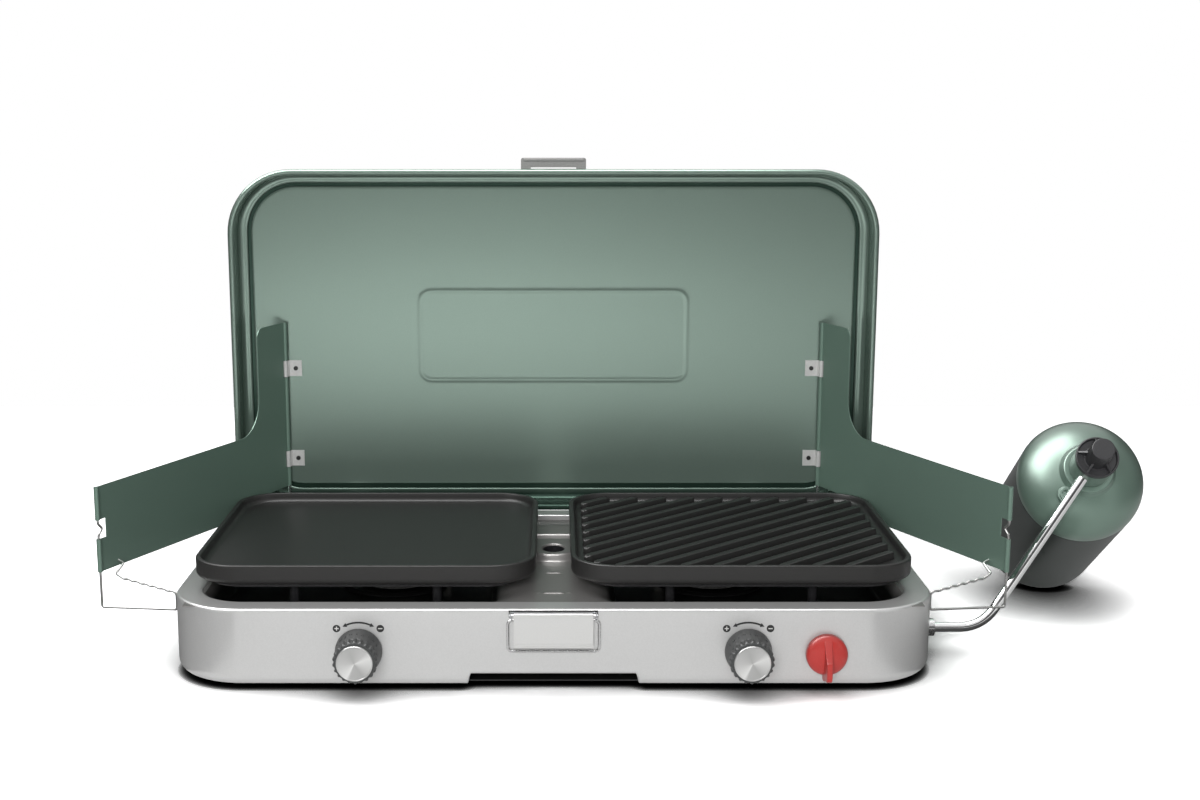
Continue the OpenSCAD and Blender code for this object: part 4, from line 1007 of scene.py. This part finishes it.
bottle_r, straight, dome_h, bottle_x = 55, 173, 36, 468
tilt, yaw = math.radians(60), math.radians(5)
bottle_axis = np.array([-math.sin(tilt) * math.sin(yaw), -math.sin(tilt) * math.cos(yaw),
                        math.cos(tilt)])
bottle_side = np.array([math.cos(yaw), -math.sin(yaw), 0])
shoulder = np.array([bottle_x, -4.5, 15 + 40 * math.sin(tilt) + straight * math.cos(tilt)])
inlet_y, inlet_z, tube_r = -71, 22.6, 4.3
tube_corner = np.array([370, inlet_y, inlet_z])
tube_aim = shoulder + bottle_axis * 58
sleeve_r, neck_r, grip_r = 17.5, 11.5, 18.1
sleeve_low, sleeve_high = dome_h + 5, 66

dress(bright_steel, "inlet_socket")
tube_way = (tube_aim - tube_corner) / np.linalg.norm(tube_aim - tube_corner)
tube_end = tube_aim - tube_way * 15
tube_route = rounded_path([(side_x - 7, inlet_y, inlet_z), tube_corner, tube_end], 20, steps=24)
chrome = finish("chrome", (0.86, 0.86, 0.86), 0.08, metallic=1.0, grain=500, spread=0.01,
                rough_spread=0.02, bump=0.0)
piece("regulator_pipe", [swept(tube_route, tube_r, steps=32)], chrome, "regulator",
      ["regulator_tube"], crease=60)

sleeve_profile = np.vstack([[(neck_r + 0.06, sleeve_low + 8), (neck_r + 0.06, sleeve_low)],
                            arc(sleeve_r - 1, sleeve_low + 1, 1, -90, 0, 4),
                            [(sleeve_r, sleeve_low + 3), (sleeve_r, sleeve_high - 2)],
                            arc(sleeve_r - 0.4, sleeve_high - 0.4, 0.4, 0, 90, 2),
                            [(0, sleeve_high), (0, sleeve_low + 8), (neck_r + 0.06, sleeve_low + 8)]])
bottle_paint = finish("bottle_paint", (0.150, 0.225, 0.183), 0.34, metallic=0.4, grain=1500,
                      spread=0.02, rough_spread=0.02, bump=0.0, Coat_Weight=1.0,
                      Coat_Roughness=0.42)
piece("regulator_sleeve", [turned(sleeve_profile, shoulder, bottle_axis)], bottle_paint,
      "regulator", ["regulator_body"])

grip_profile = np.vstack([[(0, 0), (grip_r - 0.5, 0)],
                          arc(grip_r - 0.5, 0.5, 0.5, -90, 0, 3),
                          arc(grip_r - 0.8, 4.2, 0.8, 0, 90, 4),
                          [(grip_r - 1.6, 4.8), (grip_r - 2, 2.2), (10.4, 2), (9.9, 2.6), (9.6, 25.8)],
                          arc(8.7, 26, 1, 0, 90, 4), [(0, 27)]]) + (0, sleeve_high)
rib_side = np.cross(bottle_axis, bottle_side)


def grip_rib(turn):
    """A thin upright rib from the boss to the rim, in the plane of the axis and one radius."""
    a = math.radians(turn)
    out = math.cos(a) * bottle_side + math.sin(a) * rib_side
    flank = np.cross(bottle_axis, out)
    outline = np.array([(8.6, 1.6), (grip_r - 1.2, 1.6), (grip_r - 1.4, 4.7), (8.6, 11.5)])
    outline = outline + (0, sleeve_high)
    return slab(outline, 0.9, lambda u, v, t: shoulder + out * u + bottle_axis * v + flank * t)


black_plastic = finish("black_plastic", (0.030, 0.030, 0.032), 0.42, grain=1300, spread=0.25,
                       bump=0.10)
piece("regulator_handle", [turned(grip_profile, shoulder, bottle_axis),
                           *[grip_rib(t) for t in range(20, 360, 72)]],
      black_plastic, "regulator", ["regulator_grip"], round_off=0.25)


# ---- Gas bottle ----
# A drawn steel bottle lies on its side with its neck raised: a domed shoulder in glossy metallic
# green, a darker straight wall, a threaded neck and a small relief valve beside it.

dome_turn = np.radians(np.linspace(0, 79, 20))
dome_arc = np.column_stack([bottle_r * np.cos(dome_turn), dome_h * np.sin(dome_turn)])
bottle_profile = np.vstack([
    [(0, -straight - 9), (20, -straight - 10.5), (34, -straight - 14.2)],
    arc(bottle_r - 15, -straight, 15, -90, 0, 10),
    [(bottle_r, -straight + 3), (bottle_r, -80), (bottle_r, -1.8),
     (bottle_r - 0.35, -1.0), (0, -1.0)]])
collar = dome_h * math.sin(math.radians(80))
dome_profile = np.vstack([[(0, -0.9), (bottle_r - 0.35, -0.9)], dome_arc, [(0, collar)]])
neck_profile = np.vstack([[(0, -1), (24.5, -3.6)], arc(20, 1.5, 2.0, -20, 90, 6),
                          [(neck_r + 1.5, 3.6), (neck_r, 4.4)],
                          [(neck_r - 0.5 * (k % 2), 5 + 0.7 * k) for k in range(13)],
                          [(neck_r - 1, 13.6), (0, 13.6)]]) + (0, collar)
wall_paint = finish("bottle_wall_paint", (0.046, 0.056, 0.051), 0.40, metallic=0.3, grain=1500,
                    spread=0.02, rough_spread=0.02, bump=0.0, Specular_IOR_Level=0.4)
piece("bottle_drawing", [turned(bottle_profile, shoulder, bottle_axis, steps=96)], wall_paint,
      "bottle", ["bottle_shell"], crease=24)
piece("bottle_dome", [turned(dome_profile, shoulder, bottle_axis, steps=96)], bottle_paint,
      "bottle", crease=24)
piece("bottle_collar", [turned(neck_profile, shoulder, bottle_axis)], bottle_paint, "bottle",
      ["bottle_neck"], crease=24)

relief_at = shoulder - bottle_side * 20 - rib_side * 23 + bottle_axis * (dome_h - 11)
relief_profile = np.vstack([[(0, -4), (6, -4), (6, 7.8)], arc(7.0, 8.4, 0.4, -90, 0, 2),
                            arc(7.0, 10.6, 0.4, 0, 90, 2), [(6, 11.2)], arc(5.5, 12.5, 0.5, 0, 90, 2),
                            [(4, 13), (3.6, 12.6), (3.6, 9), (0, 9)]])
piece("relief_cup", [turned(relief_profile, relief_at, bottle_axis, steps=32)], bottle_paint,
      "bottle", ["relief_valve"])
